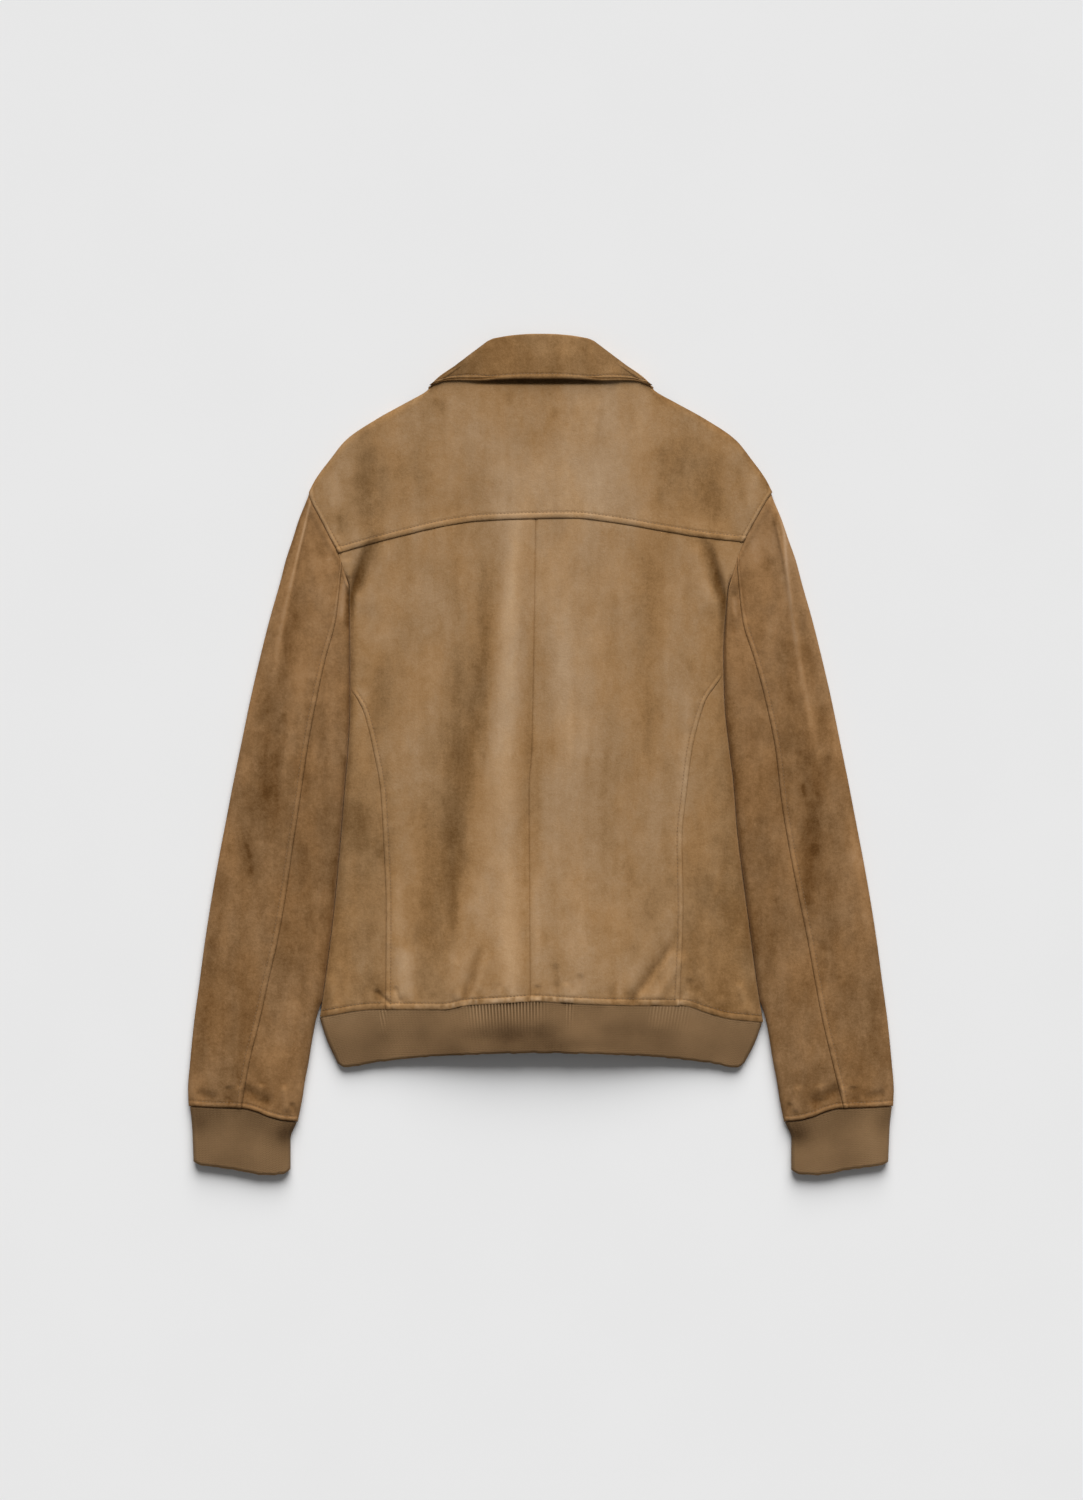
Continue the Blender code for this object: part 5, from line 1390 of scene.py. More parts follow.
def band_ripple(across, t, seed):
    """The folded edge of a band wanders a little."""
    return 0.5 * chance(across, 0 * across, 5, 50, seed) * smooth((t - 0.75) / 0.25)


def rib_profile(count, t, stretched=0.0):
    """Height of a rib, and its painted shade in the furrows and painted light on the ribs, at a
    count of ribs across. The ribs close up down the band.
    """
    wave = np.cos(2 * math.pi * count)
    opened = 0.03 + 0.08 * (1 - smooth(t / 0.4)) + 2.6 * stretched
    return RIB_RELIEF * wave * (0.12 + opened), wave * opened


def band_rows():
    """Rows down a band: close at its seam and at its folded edge."""
    spans = ((0, 0.08, 6), (0.08, 0.93, 22), (0.93, 1, 7))
    first, middle, last = (np.linspace(*span) for span in spans)
    return np.concatenate([first, middle[1:-1], last])[:, None]


def band_edge(t):
    """The band stands up beside its seam and rounds off at its folded edge."""
    down = t * BAND_LENGTH
    seam = 1.5 * np.exp(-down / 8) - 0.1 * np.exp(-down / 1.2)
    return seam + 0.5 * np.sin(math.pi * t) - 1.3 * smooth((down - BAND_LENGTH + 3.2) / 3.2) ** 2


# %% Hem band
FRONT_EDGE_X = 4.5


def hem_band(name):
    """From the centre front round both folds and over the back, with the ribs on top."""
    t = band_rows()
    edge = line_at(HEM_SIDES, t)
    top = np.linspace(-1, 1, HEM_RIBS * RIB_SAMPLES + 1)[None]
    turn = np.radians(np.linspace(-90, 90, 15))[None, 1:-1]
    floor = np.linspace(0, 1, 30)[None]
    floor_x = -FRONT_EDGE_X + (-edge + RIB_MID + FRONT_EDGE_X) * floor
    fold_x = -edge + RIB_MID * (1 - np.cos(turn))
    top_x = (edge - RIB_MID) * top
    x = np.concatenate([floor_x, fold_x, top_x, -fold_x[:, ::-1], -floor_x[:, ::-1]], 1)
    lying = np.full(floor.shape, -math.pi / 2)
    turns = [lying, turn, np.full(top.shape, math.pi / 2), turn[:, ::-1], lying]
    angle = np.concatenate(turns, 1) + 0 * x
    ribs = HEM_RIBS * (x / (edge - RIB_MID) + 1) / 2
    stretched = fold_relief(STRETCHED, x, 0 * x) * bell(t, 0.32)
    height, tone = rib_profile(ribs, t, stretched)
    y0 = line_at(HEM_SEAM, x) - SEAM_GAP
    y1 = line_at(HEM_END, x)
    y = y0 + (y1 - y0) * t + band_ripple(x, t, 91)
    gather = 0.45 * chance(x, y, 6, 20, 92) * np.exp(-t * 6)
    bulge = 0.6 * chance(x, y, 60, 60, 93) + fold_relief(BAND_FOLDS, x, y)
    on_top = np.clip(np.sin(angle), 0, 1)
    lift = (height + band_edge(t) + gather + bulge) * on_top
    lift = lift + hem_rise(x) * (RISE_AT_SEAM + (1 - RISE_AT_SEAM) * smooth(t)) * on_top
    level = fold_height(angle, RIB_HEIGHT, RIB_MID) + lift
    outer, inner = cloth_points(x, y, -np.sign(x), 0.0, angle, level, KNIT_WALL)
    inner[..., 2] -= lift * 0.5
    # Painted shade in the ribs' furrows and in the band's dips, and painted light along the seam,
    # where the suede's welt shades the knit.
    nap_and_shade = tone * on_top + 0.5 * chance(x, y, 26, 60, 94) + 1.3 * stretched
    nap_and_shade = nap_and_shade + 0.8 * fold_relief(BAND_FOLDS, x, y) + 0.25 * smooth((np.abs(x) - 120) / 60)
    nap_and_shade = nap_and_shade + 0.2 * smooth(t) + 0.9 * bell(t, 0.2) - 1.05
    nap_and_shade = nap_and_shade - 0.5 * bell(x, 75) * smooth((t - 0.2) / 0.3)
    aside = smooth((-40 - x) / 30) + smooth((x - 95) / 20)
    nap_and_shade = nap_and_shade + 0.5 * aside * (1 - smooth((t - 0.3) / 0.4))
    uv = np.stack([ribs, (y0 - y) / LOOP_PITCH], -1)
    return cloth(name, outer, inner, KNIT, nap_and_shade, step=8, uv=uv)


hem_band("hem_band")


# %% Cuffs
CUFF_RISE = 2.8


def cuff_band(name, side):
    """A tube: ribs across the top, the inner fold, the floor and the outer fold."""
    t = band_rows()
    down, outer_x, inner_x = columns(CUFF_SIDES)
    out_x, in_x = curve(t, down, outer_x), curve(t, down, inner_x)
    width = out_x - in_x
    top = np.linspace(0, 1, CUFF_RIBS * RIB_SAMPLES + 1)[None]
    turn = np.radians(np.linspace(90, -90, 15))[None, 1:]
    floor = np.linspace(1, 0, 17)[None, 1:]
    top_d = RIB_MID + (width - 2 * RIB_MID) * top
    far_d = width - RIB_MID * (1 - np.cos(turn))
    floor_d = RIB_MID + (width - 2 * RIB_MID) * floor
    near_d = RIB_MID * (1 - np.cos(turn[:, -2::-1]))
    d = np.concatenate([top_d, far_d, floor_d, near_d + 0 * width], 1)
    lying = np.full(floor.shape, -math.pi / 2)
    turns = [np.full(top.shape, math.pi / 2), turn, lying, turn[:, -2::-1]]
    angle = np.concatenate(turns, 1) + 0 * d
    share = d / width
    ribs = CUFF_RIBS * (d - RIB_MID) / (width - 2 * RIB_MID)
    height, tone = rib_profile(ribs, t)
    y0 = line_at(CUFF_SEAM, share) - SEAM_GAP
    y1 = line_at(CUFF_END, share)
    y = y0 + (y1 - y0) * t + band_ripple(d, t, 95 + side)
    on_top = np.clip(np.sin(angle), 0, 1)
    gather = 0.5 * chance(d, y, 6, 20, 97 + side) * np.exp(-t * 6)
    bulge = 1.2 * np.sin(math.pi * share) * np.sin(math.pi * np.clip(t * 1.1, 0, 1))
    lift = (height + band_edge(t) + gather + bulge + CUFF_RISE * smooth(t)) * on_top
    level = fold_height(angle, RIB_HEIGHT, RIB_MID) + lift
    x = out_x - d
    inward = np.where(share < 0.5, -1.0, 1.0)
    outer, inner = cloth_points(x, y, inward, 0.0, angle, level, KNIT_WALL)
    inner[..., 2] -= lift * 0.9
    flip = np.array([side, 1, 1])
    # Painted shade in the ribs' furrows, towards the seam and at the cuff's sides near the seam;
    # lighter towards the folded edge.
    nap_and_shade = tone * on_top + 0.6 * chance(d, y, 24, 30, 99 + side)
    nap_and_shade = nap_and_shade + 0.9 * smooth((t - 0.1) / 0.6) - 0.4
    painted_side_shade = bell(share - 0.93, 0.13) + 0.7 * bell(share - 0.06, 0.1)
    nap_and_shade = nap_and_shade - 2.0 * painted_side_shade * bell(t - 0.24, 0.24) - (0.8 if side < 0 else 0.45)
    uv = np.stack([ribs, (y0 - y) / LOOP_PITCH], -1)
    return cloth(name, outer * flip, inner * flip, KNIT, nap_and_shade, ring=True, step=4, uv=uv)


for hand, side in HANDS:
    cuff_band(f"cuff_band_{hand}", side)

# %% [markdown]
# ## The collar
#
# A shirt collar has a stand that rises from the neck seam and a leaf that falls over
# it. Laid flat it makes a closed ring: along the back of the neck, round a side fold,
# and down to its points on the front, which lie under the jacket. The leaf's edge
# stands clear of the yoke behind, so a deep shadow shows there, and painted shadow on
# the yoke deepens it.

# %% Sections round the collar
FOLD_ANGLES = (-90, -60, -30, 0, 30, 60, 90)
FOLD_START = len(COLLAR_FRONT)
FOLD_MIDDLE = FOLD_START + FOLD_ANGLES.index(0)
FOLD_END = FOLD_START + len(FOLD_ANGLES) - 1


def collar_table():
    """The collar's lines with an angle: -90 under the jacket, 0 at the fold, 90 on top."""
    rows = [(*row, -90.0) for row in COLLAR_FRONT]
    rows += [(*COLLAR_SIDE, float(angle)) for angle in FOLD_ANGLES]
    rows += [(*row, 90.0) for row in COLLAR_BACK]
    return np.array(rows)


def collar_sections(count):
    """Sections of one half, between the table's rows, and whether they are in the fold."""
    table = collar_table()
    at = np.linspace(0, len(table) - 1, count)
    keys = np.arange(len(table), dtype=float)
    fine = np.stack([np.interp(at, keys, table[:, k]) for k in range(7)], 1)
    on_back = at > FOLD_END
    for k in range(6):
        fine[on_back, k] = curve(at[on_back], keys[FOLD_END:], table[FOLD_END:, k])
    under = smooth(-fine[:, 6] / 90) * (at <= FOLD_MIDDLE)
    tuck = COLLAR_TUCK * np.where(at < FOLD_START, smooth(at - FOLD_START + 1), under)
    reach = np.subtract(COLLAR_SIDE[4:6], COLLAR_SIDE[:2])
    fine[:, :2] += tuck[:, None] * reach / np.linalg.norm(reach)
    fold = ((at >= FOLD_START) & (at <= FOLD_END)).astype(float)
    return fine, fold


def collar_frame(side, fine, fold):
    """Roll line, leaf's edge and neck seam of the sections, and the ways out and in."""
    angle = np.radians(fine[:, 6])
    run = np.subtract(COLLAR_SIDE[4:6], COLLAR_SIDE[:2]) * (side, 1)
    run /= np.linalg.norm(run)
    inward = np.array([run[1], -run[0]]) * side
    roll, neck, edge = (fine[:, k : k + 2] * (side, 1) for k in (0, 2, 4))
    bend = inward * COLLAR_FOLD_ROLL * (fold * (1 - np.cos(angle)))[:, None]
    turn, x, y = columns(LEAF_END)
    end = np.stack([side * curve(fine[:, 6], turn, x), curve(fine[:, 6], turn, y)], 1)
    edge = np.where(fold[:, None] > 0, end, edge)
    up = np.sin(angle)
    centre = np.where(angle > 0, smooth(1 - fine[:, 0] / COLLAR_SIDE[0]), 0.0)
    roll_z = COLLAR_SIDE_TOP + (COLLAR_BACK_TOP - COLLAR_SIDE_TOP) * centre
    edge_z = LEAF_EDGE_SIDE + (LEAF_EDGE_BACK - LEAF_EDGE_SIDE) * centre
    neck_z = STAND_SEAM_SIDE + (STAND_SEAM_BACK - STAND_SEAM_SIDE) * centre
    roll = np.column_stack([roll + bend, roll_z / 2 * (1 + up)])
    edge = np.column_stack([edge, edge_z / 2 * (1 + up)])
    neck_z = STAND_SEAM_FRONT + (neck_z - STAND_SEAM_FRONT) * (1 + up) / 2
    outward = np.column_stack([-inward[None] * np.cos(angle)[:, None], up])
    return roll, edge, np.column_stack([neck + bend, neck_z]), outward, inward


def leaf_run(roll, edge):
    """Width of the leaf on the plan, and the way down it for each millimetre of that."""
    width = np.linalg.norm(edge[:, :2] - roll[:, :2], axis=1)
    return width, (edge - roll) / width[:, None]


# %% Collar leaf
UNDER_COLLAR = 3.3
LEAF_MARGIN = 9.0
MARGIN_POINTS = 13
LEAF_SECTIONS = 190


def leaf_welt(x):
    """The stitched welt widens at the collar's ends, where the under collar rolls out."""
    return 5.2 + 2.4 * smooth((np.abs(x) - 45) / 20)


def leaf_half(side, count):
    """Half the leaf: round the roll line, down its fall and close rows at its edge."""
    fine, fold = collar_sections(count)
    roll, edge, _, outward, _ = collar_frame(side, fine, fold)
    width, run = leaf_run(roll, edge)
    width = width[:, None]
    turn = np.radians(np.linspace(-90, 90, 13))
    near_edge = np.linspace(LEAF_MARGIN, 0, MARGIN_POINTS)
    shifts = [COLLAR_ROLL * (1 - np.cos(turn))[None] + 0 * width]
    flat = np.linspace(0, 1, 26)[None, 1:-1]
    shifts.append(COLLAR_ROLL + (width - LEAF_MARGIN - COLLAR_ROLL) * flat)
    shifts.append(width - near_edge[None])
    shift = np.concatenate(shifts, 1)
    straight = shift.shape[1] - len(turn)
    offset = np.concatenate([COLLAR_ROLL * (np.sin(turn) - 1), np.zeros(straight)])[None]
    cosine = np.concatenate([np.cos(turn), np.zeros(straight)])[None, :, None]
    sine = np.concatenate([np.sin(turn), np.ones(straight)])[None, :, None]
    outer = roll[:, None] + run[:, None] * shift[..., None]
    outer = outer + outward[:, None] * offset[..., None]
    back = COLLAR_WALL * (run[:, None] * cosine - outward[:, None] * sine)
    on_back = np.clip(outward[:, 2], 0, 1)[:, None]
    from_edge = width - shift
    along = outer[..., 0]
    at = np.clip(shift / width, 0, 1)
    puff = 0.9 * np.sin(math.pi * at) + 0.5 * chance(along, outer[..., 1], 26, 18, 111)
    wide = leaf_welt(along)
    relief = puff + welt(from_edge, wide, along, 0.6, 113) + turned_edge(from_edge, 0.9, 0.8)
    rolled = smooth((np.abs(along) - 38) / 16) * bell(from_edge - UNDER_COLLAR, 0.8)
    relief = relief - 0.6 * rolled
    relief = relief * on_back * smooth((offset + 2 * COLLAR_ROLL) / COLLAR_ROLL)
    in_fold = (fold * np.cos(np.radians(fine[:, 6])))[:, None]
    bow = LEAF_BOW * BOW_PEAK * at**4 * (1 - at) * in_fold
    outer = outer + outward[:, None] * (relief + bow)[..., None]
    nap_and_shade = nap_and_shade_at(along, outer[..., 1]) + seam_tone(from_edge, wide, 0.3, -0.3, -0.6)
    return outer, outer + back, nap_and_shade - 1.8 - 2.6 * rolled


def collar_leaf(name):
    halves = [leaf_half(side, LEAF_SECTIONS) for side in (-1, 1)]
    outer, inner, nap_and_shade = (joined(left, right) for left, right in zip(*halves))
    return cloth(name, outer, inner, COLLAR_SUEDE, nap_and_shade, step=2)


STITCHED_ABOVE = 11.5


def leaf_stitches(name):
    lines = []
    for side in (-1, 1):
        outer = leaf_half(side, LEAF_SECTIONS)[0]
        near = outer[:, -MARGIN_POINTS:]
        place = (LEAF_MARGIN - leaf_welt(outer[:, -1, 0])) / (LEAF_MARGIN / (MARGIN_POINTS - 1))
        low, row = np.floor(place).astype(int), np.arange(len(near))
        line = near[row, low] + (near[row, low + 1] - near[row, low]) * (place - low)[:, None]
        lines.append(line[line[:, 2] > STITCHED_ABOVE])
    return stitch_row(name, joined(*lines))


collar_leaf("leaf")
leaf_stitches("leaf_stitches")


# %% Collar stand
STAND_SECTIONS = 120


def stand_half(side, count):
    """Half the stand, inside the leaf, from the roll line to the neck seam."""
    fine, fold = collar_sections(count)
    roll, edge, seam, outward, inward = collar_frame(side, fine, fold)
    under = -2 * COLLAR_ROLL * outward
    first = roll + leaf_run(roll, edge)[1] * (COLLAR_ROLL + STAND_GAP) + under
    on_back = (fine[:, 6] >= 90) & (fine[:, 0] < COLLAR_SIDE[0] - 1)
    ease = CORNER_EASE * smooth((fine[:, 0] - 26) / 10) * on_back
    first[:, :2] += inward * ease[:, None]
    down = seam[:, :2] - roll[:, :2]
    down /= np.linalg.norm(down, axis=1)[:, None]
    last = np.column_stack([seam[:, :2] - down * SEAM_GAP + under[:, :2], seam[:, 2]])
    share = np.linspace(0, 1, 16)[None, :, None]
    outer = first[:, None] + (last - first)[:, None] * share
    return outer, outer + outward[:, None] * COLLAR_WALL


def collar_stand(name):
    halves = [stand_half(side, STAND_SECTIONS) for side in (-1, 1)]
    outer, inner = (joined(left, right) for left, right in zip(*halves))
    nap_and_shade = nap_and_shade_at(outer[..., 0], outer[..., 1]) - 1.5
    return cloth(name, outer, inner, COLLAR_SUEDE, nap_and_shade)


collar_stand("stand")

# %% [markdown]
# ## The fronts and the zip
#
# The fronts lie on the table, so they are flat underneath. They are finished plainly:
# two panels that meet at a zip, lifted a little where they lie over the collar.

# %% Front panels
FRONT_WALL = 2.6
ZIP_CLEAR_X = 16.0
SHOULDER_FRONT_INSET = 5.8
NECK_FRONT_INSET = 9.0
NECK_SIDE_X = 120.0
FRONT_HEM_EASE = 0.7
FRONT_LIFT = 1.9
LIFT_FADE = 32.0
LIFT_MARGIN = 20.0


def polygon_distance(x, y, corners):
    """Distance to a convex polygon, 0 inside it."""
    nearest = np.full(np.broadcast(x, y).shape, np.inf)
    inside = np.ones(nearest.shape, bool)
    for (x0, y0), (x1, y1) in zip(corners, corners[1:] + corners[:1]):
        run = math.hypot(x1 - x0, y1 - y0)
        inside &= ((x - x0) * (y1 - y0) - (y - y0) * (x1 - x0)) / run <= 0
        along = np.clip(((x - x0) * (x1 - x0) + (y - y0) * (y1 - y0)) / run**2, 0.0, 1.0)
        off_x, off_y = x - x0 - along * (x1 - x0), y - y0 - along * (y1 - y0)
        nearest = np.minimum(nearest, np.hypot(off_x, off_y))
    return np.where(inside, 0.0, nearest)


def front_lift(x, y):
    """How far a front is lifted off the table by the collar's end under it."""
    first, last = COLLAR_FRONT[0], COLLAR_SIDE
    corners = [(first[0], first[1]), (last[0], last[1]), (last[4], last[5]), (first[4], first[5])]
    away = polygon_distance(np.maximum(np.abs(x), ZIP_CLEAR_X), y, corners)
    return FRONT_LIFT * (1 - smooth((away - LIFT_MARGIN) / LIFT_FADE))


def spaced(points, count):
    """Points evenly spaced along a line of points."""
    steps = np.linalg.norm(np.diff(points, axis=0), axis=1)
    along = summed(steps) / steps.sum()
    at = np.linspace(0, 1, count)
    return np.stack([np.interp(at, along, points[:, k]) for k in range(2)], 1)


def front_top(side):
    """The neck edge and the shoulder line, from the centre front to the armhole."""
    neck = [(row[2], row[3] - 0.4) for row in COLLAR_FRONT]
    slope = (neck[1][1] - neck[0][1]) / (neck[1][0] - neck[0][0])
    clear_y = neck[0][1] + (ZIP_CLEAR_X - neck[0][0]) * slope
    points = [(FRONT_EDGE_X, neck[0][1]), (ZIP_CLEAR_X, clear_y)]
    points += [(x + 0.5, y) for x, y in neck[1:]]
    x, y = columns(SHOULDER)
    run = np.gradient(np.stack([x, y], 1), axis=0)
    run /= np.linalg.norm(run, axis=1)[:, None]
    moved = np.where(x < NECK_SIDE_X, NECK_FRONT_INSET, SHOULDER_FRONT_INSET)
    outline = np.stack([x - run[:, 1] * moved, y + run[:, 0] * moved], 1)
    points += [tuple(p) for p in outline[7::-1]]
    return np.array(points) * (side, 1)


def front_side(side):
    """The side edge of a front, from the hem up to the shoulder."""
    nominal = np.linspace(HEM_Y, UNDERARM_NOMINAL, 90)
    arc = under_arc(line_at(FRONT_SEAM, side_row_y(side, nominal))) - SEAM_GAP / 2
    outer = body_surface(side, nominal, arc)[0]
    y = np.linspace(174, 246, 16)
    above = np.stack([side * (side_edge(side, y) - SEAM_GAP), y], 1)
    return np.concatenate([outer[:, :2], above])


def front_piece(name, side):
    across, up = 48, 130
    top = spaced(front_top(side), across)
    right = spaced(np.concatenate([front_side(side), top[-1:]]), up)
    bottom_x = np.linspace(side * FRONT_EDGE_X, right[0][0], across)
    bottom = np.stack([bottom_x, line_at(HEM_SEAM, bottom_x) + FRONT_HEM_EASE], 1)
    right[0] = bottom[-1]
    left_y = np.linspace(bottom[0][1], top[0][1], up)
    left = np.stack([np.full(up, side * FRONT_EDGE_X), left_y], 1)
    u = np.linspace(0, 1, across)[None, :, None]
    v = np.linspace(0, 1, up)[:, None, None]
    plan = (1 - v) * bottom[None] + v * top[None] + (1 - u) * left[:, None] + u * right[:, None]
    corners = (1 - u) * (1 - v) * bottom[0] + u * (1 - v) * bottom[-1]
    plan -= corners + (1 - u) * v * top[0] + u * v * top[-1]
    lift = front_lift(plan[..., 0], plan[..., 1])
    lower = np.dstack([plan, lift])
    upper = np.dstack([plan, lift + FRONT_WALL])
    nap_and_shade = nap_and_shade_at(plan[..., 0] + 400, plan[..., 1])
    return cloth(name, lower, upper, BODY_SUEDE, nap_and_shade, step=3)


for hand, side in HANDS:
    front_piece(f"front_panel_{hand}", side)

# %% Zip tape
ZIP_TOP_Y = 262.0
ZIP_BOTTOM_Y = -287.0
TAPE_LOW = 3.3
TAPE_WALL = 0.8
TAPE_HALF = 15


def zip_tape(name):
    y = np.linspace(ZIP_BOTTOM_Y, ZIP_TOP_Y, 240)[:, None]
    x = np.linspace(-TAPE_HALF, TAPE_HALF, 13)[None]
    x, y = np.broadcast_arrays(x, y)
    ribbed = 0.1 * np.cos(x * 2.2)
    low = TAPE_LOW + front_lift(0 * x, y)
    outer = np.dstack([x, y, low - 0.1 + ribbed])
    inner = np.dstack([x, y, low + TAPE_WALL])
    return cloth(name, outer, inner, TAPE, 0 * x)


zip_tape("zip_tape_piece")

# %% [markdown]
# Each tooth of a metal zip is a small block clamped on its tape, and the two rows lie
# between each other. One tooth is made from a cube, narrowed at its head and bevelled,
# and then copied up the chain.

# %% Zip teeth
TOOTH_PITCH = 2.6
CHAIN_START_Y = ZIP_BOTTOM_Y + 1
CHAIN_END_Y = ZIP_TOP_Y - 12
CHAIN_LOW = 0.9
CHAIN_WALL = 2.1
TOOTH_SIZE = (3.4, 1.5, 1.5)
TOOTH_OFF_CENTRE = 0.9


def make_tooth():
    bpy.ops.object.select_all(action="DESELECT")
    bpy.ops.mesh.primitive_cube_add(size=1, location=(0, 0, 0))
    tooth = bpy.context.object
    tooth.scale = tuple(size * MM for size in TOOTH_SIZE)
    bpy.ops.object.transform_apply(location=False, rotation=False, scale=True)
    for vertex in tooth.data.vertices:
        if vertex.co.x > 0:
            vertex.co.y *= 0.7
            vertex.co.z *= 0.8
    bevel = tooth.modifiers.new("Round", "BEVEL")
    bevel.width = 0.25 * MM
    bevel.segments = 1
    bpy.ops.object.modifier_apply(modifier="Round")
    return tooth


def zip_chain(name):
    tooth = make_tooth()
    count = int((CHAIN_END_Y - CHAIN_START_Y) / TOOTH_PITCH * 2)
    joined = bmesh.new()
    for k in range(count):
        way = 1 if k % 2 else -1
        y = CHAIN_START_Y + k * TOOTH_PITCH / 2
        z = CHAIN_LOW + CHAIN_WALL / 2 + float(front_lift(np.array(0.0), np.array(y)))
        part = bmesh.new()
        part.from_mesh(tooth.data)
        for vertex in part.verts:
            vertex.co.x = way * (vertex.co.x - TOOTH_OFF_CENTRE * MM)
            vertex.co.y += y * MM
            vertex.co.z += z * MM
        if way < 0:
            bmesh.ops.reverse_faces(part, faces=part.faces)
        moved = bpy.data.meshes.new("tooth_copy")
        part.to_mesh(moved)
        part.free()
        joined.from_mesh(moved)
        bpy.data.meshes.remove(moved)
    mesh = bpy.data.meshes.new(name)
    joined.to_mesh(mesh)
    joined.free()
    bpy.data.objects.remove(tooth, do_unlink=True)
    print("teeth", count)
    return link_mesh(name, mesh, ZIP_METAL)


zip_chain("zip_teeth")


# %% Zip slider
def zip_slider(name):
    bpy.ops.object.select_all(action="DESELECT")
    low, high = (np.array(corner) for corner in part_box("zip_slider"))
    centre = (low + high) / 2
    bpy.ops.mesh.primitive_cube_add(size=1, location=centre)
    slider = bpy.context.object
    slider.scale = high - low
    bpy.ops.object.transform_apply(location=True, rotation=False, scale=True)
    bpy.ops.object.mode_set(mode="EDIT")
    bpy.ops.mesh.select_all(action="SELECT")
    bpy.ops.mesh.subdivide(number_cuts=3)
    bpy.ops.object.mode_set(mode="OBJECT")
    for vertex in slider.data.vertices:
        down = (high[1] - vertex.co.y) / (high[1] - low[1])
        waist = 0.62 + 0.38 * math.sin(math.pi * min(max(down, 0), 1))
        vertex.co.x = centre[0] + (vertex.co.x - centre[0]) * waist
    bevel = slider.modifiers.new("Round", "BEVEL")
    bevel.width = 0.4 * MM
    bevel.segments = 2
    bevel.limit_method = "ANGLE"
    bpy.ops.object.modifier_apply(modifier="Round")
    slider.name = name
    slider.data.name = name
    slider.data.materials.append(ZIP_METAL)
    PIECES[name] = slider
    return slider


zip_slider("zip_slider_piece")

# %% [markdown]
# ## Each piece on the body, in place of its solid
#
# Every piece rides on the one body and stands for its solid, which is hidden. The table
# lists each piece's slot of the record and how big its sheet was when it was cut, and
# the cloth in each piece is printed beside that size.

# %% Pieces, solids and cuts
CUTS = {
    # piece: (solid, slot, cut width, cut length), in metres
    "yoke": ("back_yoke", "suede", 0.475, 0.195),
    "back_panel_left": ("back_left", "suede", 0.195, 0.480),
    "back_panel_right": ("back_right", "suede", 0.210, 0.475),
    "side_panel_left": ("side_left", "suede", 0.130, 0.425),
    "side_panel_right": ("side_right", "suede", 0.145, 0.430),
    "front_panel_left": ("front_left", "suede", 0.220, 0.605),
    "front_panel_right": ("front_right", "suede", 0.220, 0.605),
    "upper_sleeve_left": ("sleeve_upper_left", "suede", 0.160, 0.610),
    "upper_sleeve_right": ("sleeve_upper_right", "suede", 0.160, 0.610),
    "under_sleeve_left": ("sleeve_under_left", "suede", 0.120, 0.560),
    "under_sleeve_right": ("sleeve_under_right", "suede", 0.120, 0.560),
    "cuff_band_left": ("cuff_left", "rib_knit", 0.205, 0.060),
    "cuff_band_right": ("cuff_right", "rib_knit", 0.205, 0.060),
    "hem_band": ("hem_rib", "rib_knit", 0.850, 0.052),
    "leaf": ("collar_leaf", "suede", 0.520, 0.080),
    "stand": ("collar_stand", "suede", 0.430, 0.040),
    "zip_tape_piece": ("zip_tape", "zip_tape", 0.030, 0.550),
}


def cloth_area(piece):
    """Half the surface of a closed piece, in square metres: the cloth in it."""
    return sum(face.area for face in piece.data.polygons) / 2


for name, (node, slot, width, length) in CUTS.items():
    piece = PIECES[name]
    print(f"{name}: cloth {cloth_area(piece):.4f} of {width * length:.4f} square metres")
    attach(piece, "root")
    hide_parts(node)

for name, node in (("zip_teeth", "zip_chain"), ("zip_slider_piece", "zip_slider")):
    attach(PIECES[name], "root")
    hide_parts(node)

for name, piece in PIECES.items():
    if "stitches" in name:
        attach(piece, "root")

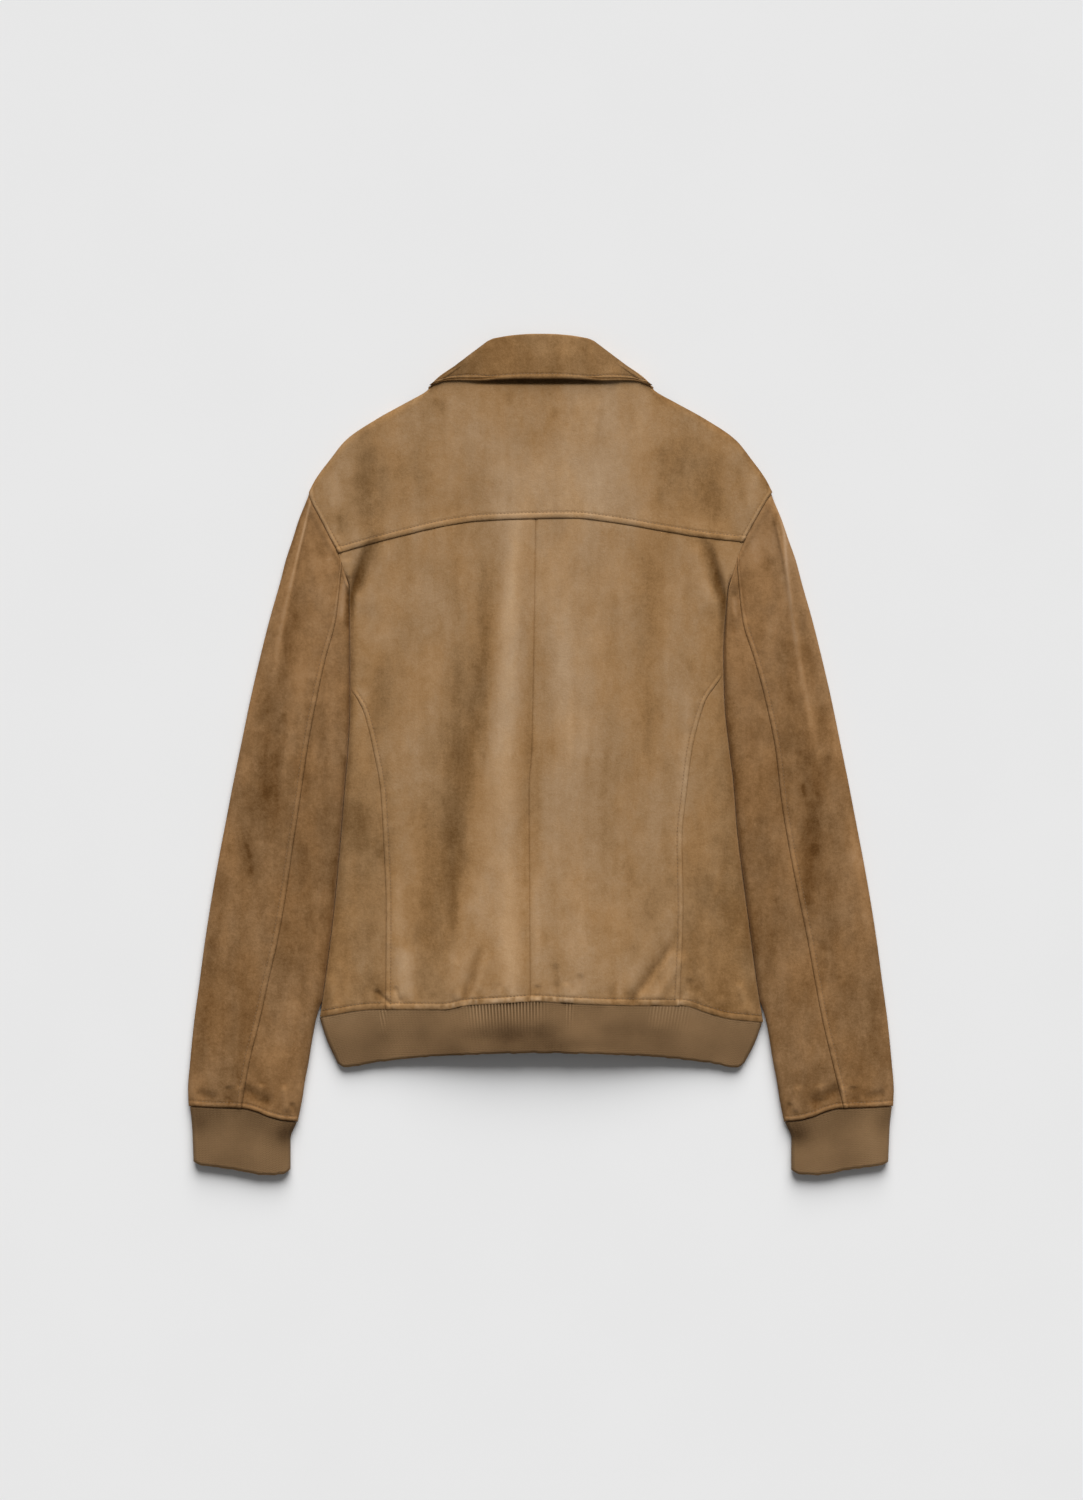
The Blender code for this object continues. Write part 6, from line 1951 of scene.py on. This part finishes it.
# %% [markdown]
# ## Floor, light and camera
#
# The floor is a plain pale sheet. One wide sun stands low beyond the collar, so the
# collar's edge shades the yoke, and the hem and cuffs shade the floor below them. A
# weak sun overhead and a faint, even world fill the shadows. The camera looks straight
# down.

# %% Floor
bpy.ops.object.select_all(action="DESELECT")
bpy.ops.mesh.primitive_plane_add(size=8, location=(0, 0, -0.0005))
floor = bpy.context.object
floor.name = "floor"
paper = Finish("pale_paper", 0.9)
fibres = paper.noise(paper.place(), 6, 2)
paper.colour(paper.ramp(fibres, (0.3, (0.80, 0.80, 0.80)), (0.7, (0.81, 0.81, 0.81))))
floor.data.materials.append(paper.material)

# %% Light
def sun_lamp(name, toward, strength, soft_degrees):
    """A wide, even light from one direction, as from a row of soft boxes far away."""
    data = bpy.data.lights.new(name, "SUN")
    data.energy, data.angle = strength, math.radians(soft_degrees)
    lamp = bpy.data.objects.new(name, data)
    lamp.location = toward
    lamp.rotation_euler = (-Vector(toward)).to_track_quat("-Z", "Y").to_euler()
    bpy.context.scene.collection.objects.link(lamp)
    return lamp


sun_lamp("key", (0.08, 0.82, 0.574), 4.53, 50)
sun_lamp("overhead", (-0.05, 0.0, 1.0), 0.06, 15)
world = bpy.data.worlds.new("studio")
world.use_nodes = True
world.node_tree.nodes["Background"].inputs["Color"].default_value = (1, 1, 1, 1)
world.node_tree.nodes["Background"].inputs["Strength"].default_value = 0.15
bpy.context.scene.world = world
bpy.context.scene.view_settings.view_transform = "Standard"

# %% Camera
FRAME_WIDTH = 1.0485
FRAME_HEIGHT = FRAME_WIDTH * 1500 / 1083
CAMERA_HEIGHT = 6.0
CLOTH_HEIGHT = 0.008
SENSOR = 36
camera_data = bpy.data.cameras.new("camera")
camera = bpy.data.objects.new("camera", camera_data)
bpy.context.scene.collection.objects.link(camera)
camera.location = (0.0006, 0.0044, CAMERA_HEIGHT)
camera_data.sensor_fit = "VERTICAL"
camera_data.sensor_height = SENSOR
camera_data.lens = SENSOR * (CAMERA_HEIGHT - CLOTH_HEIGHT) / FRAME_HEIGHT
bpy.context.scene.camera = camera
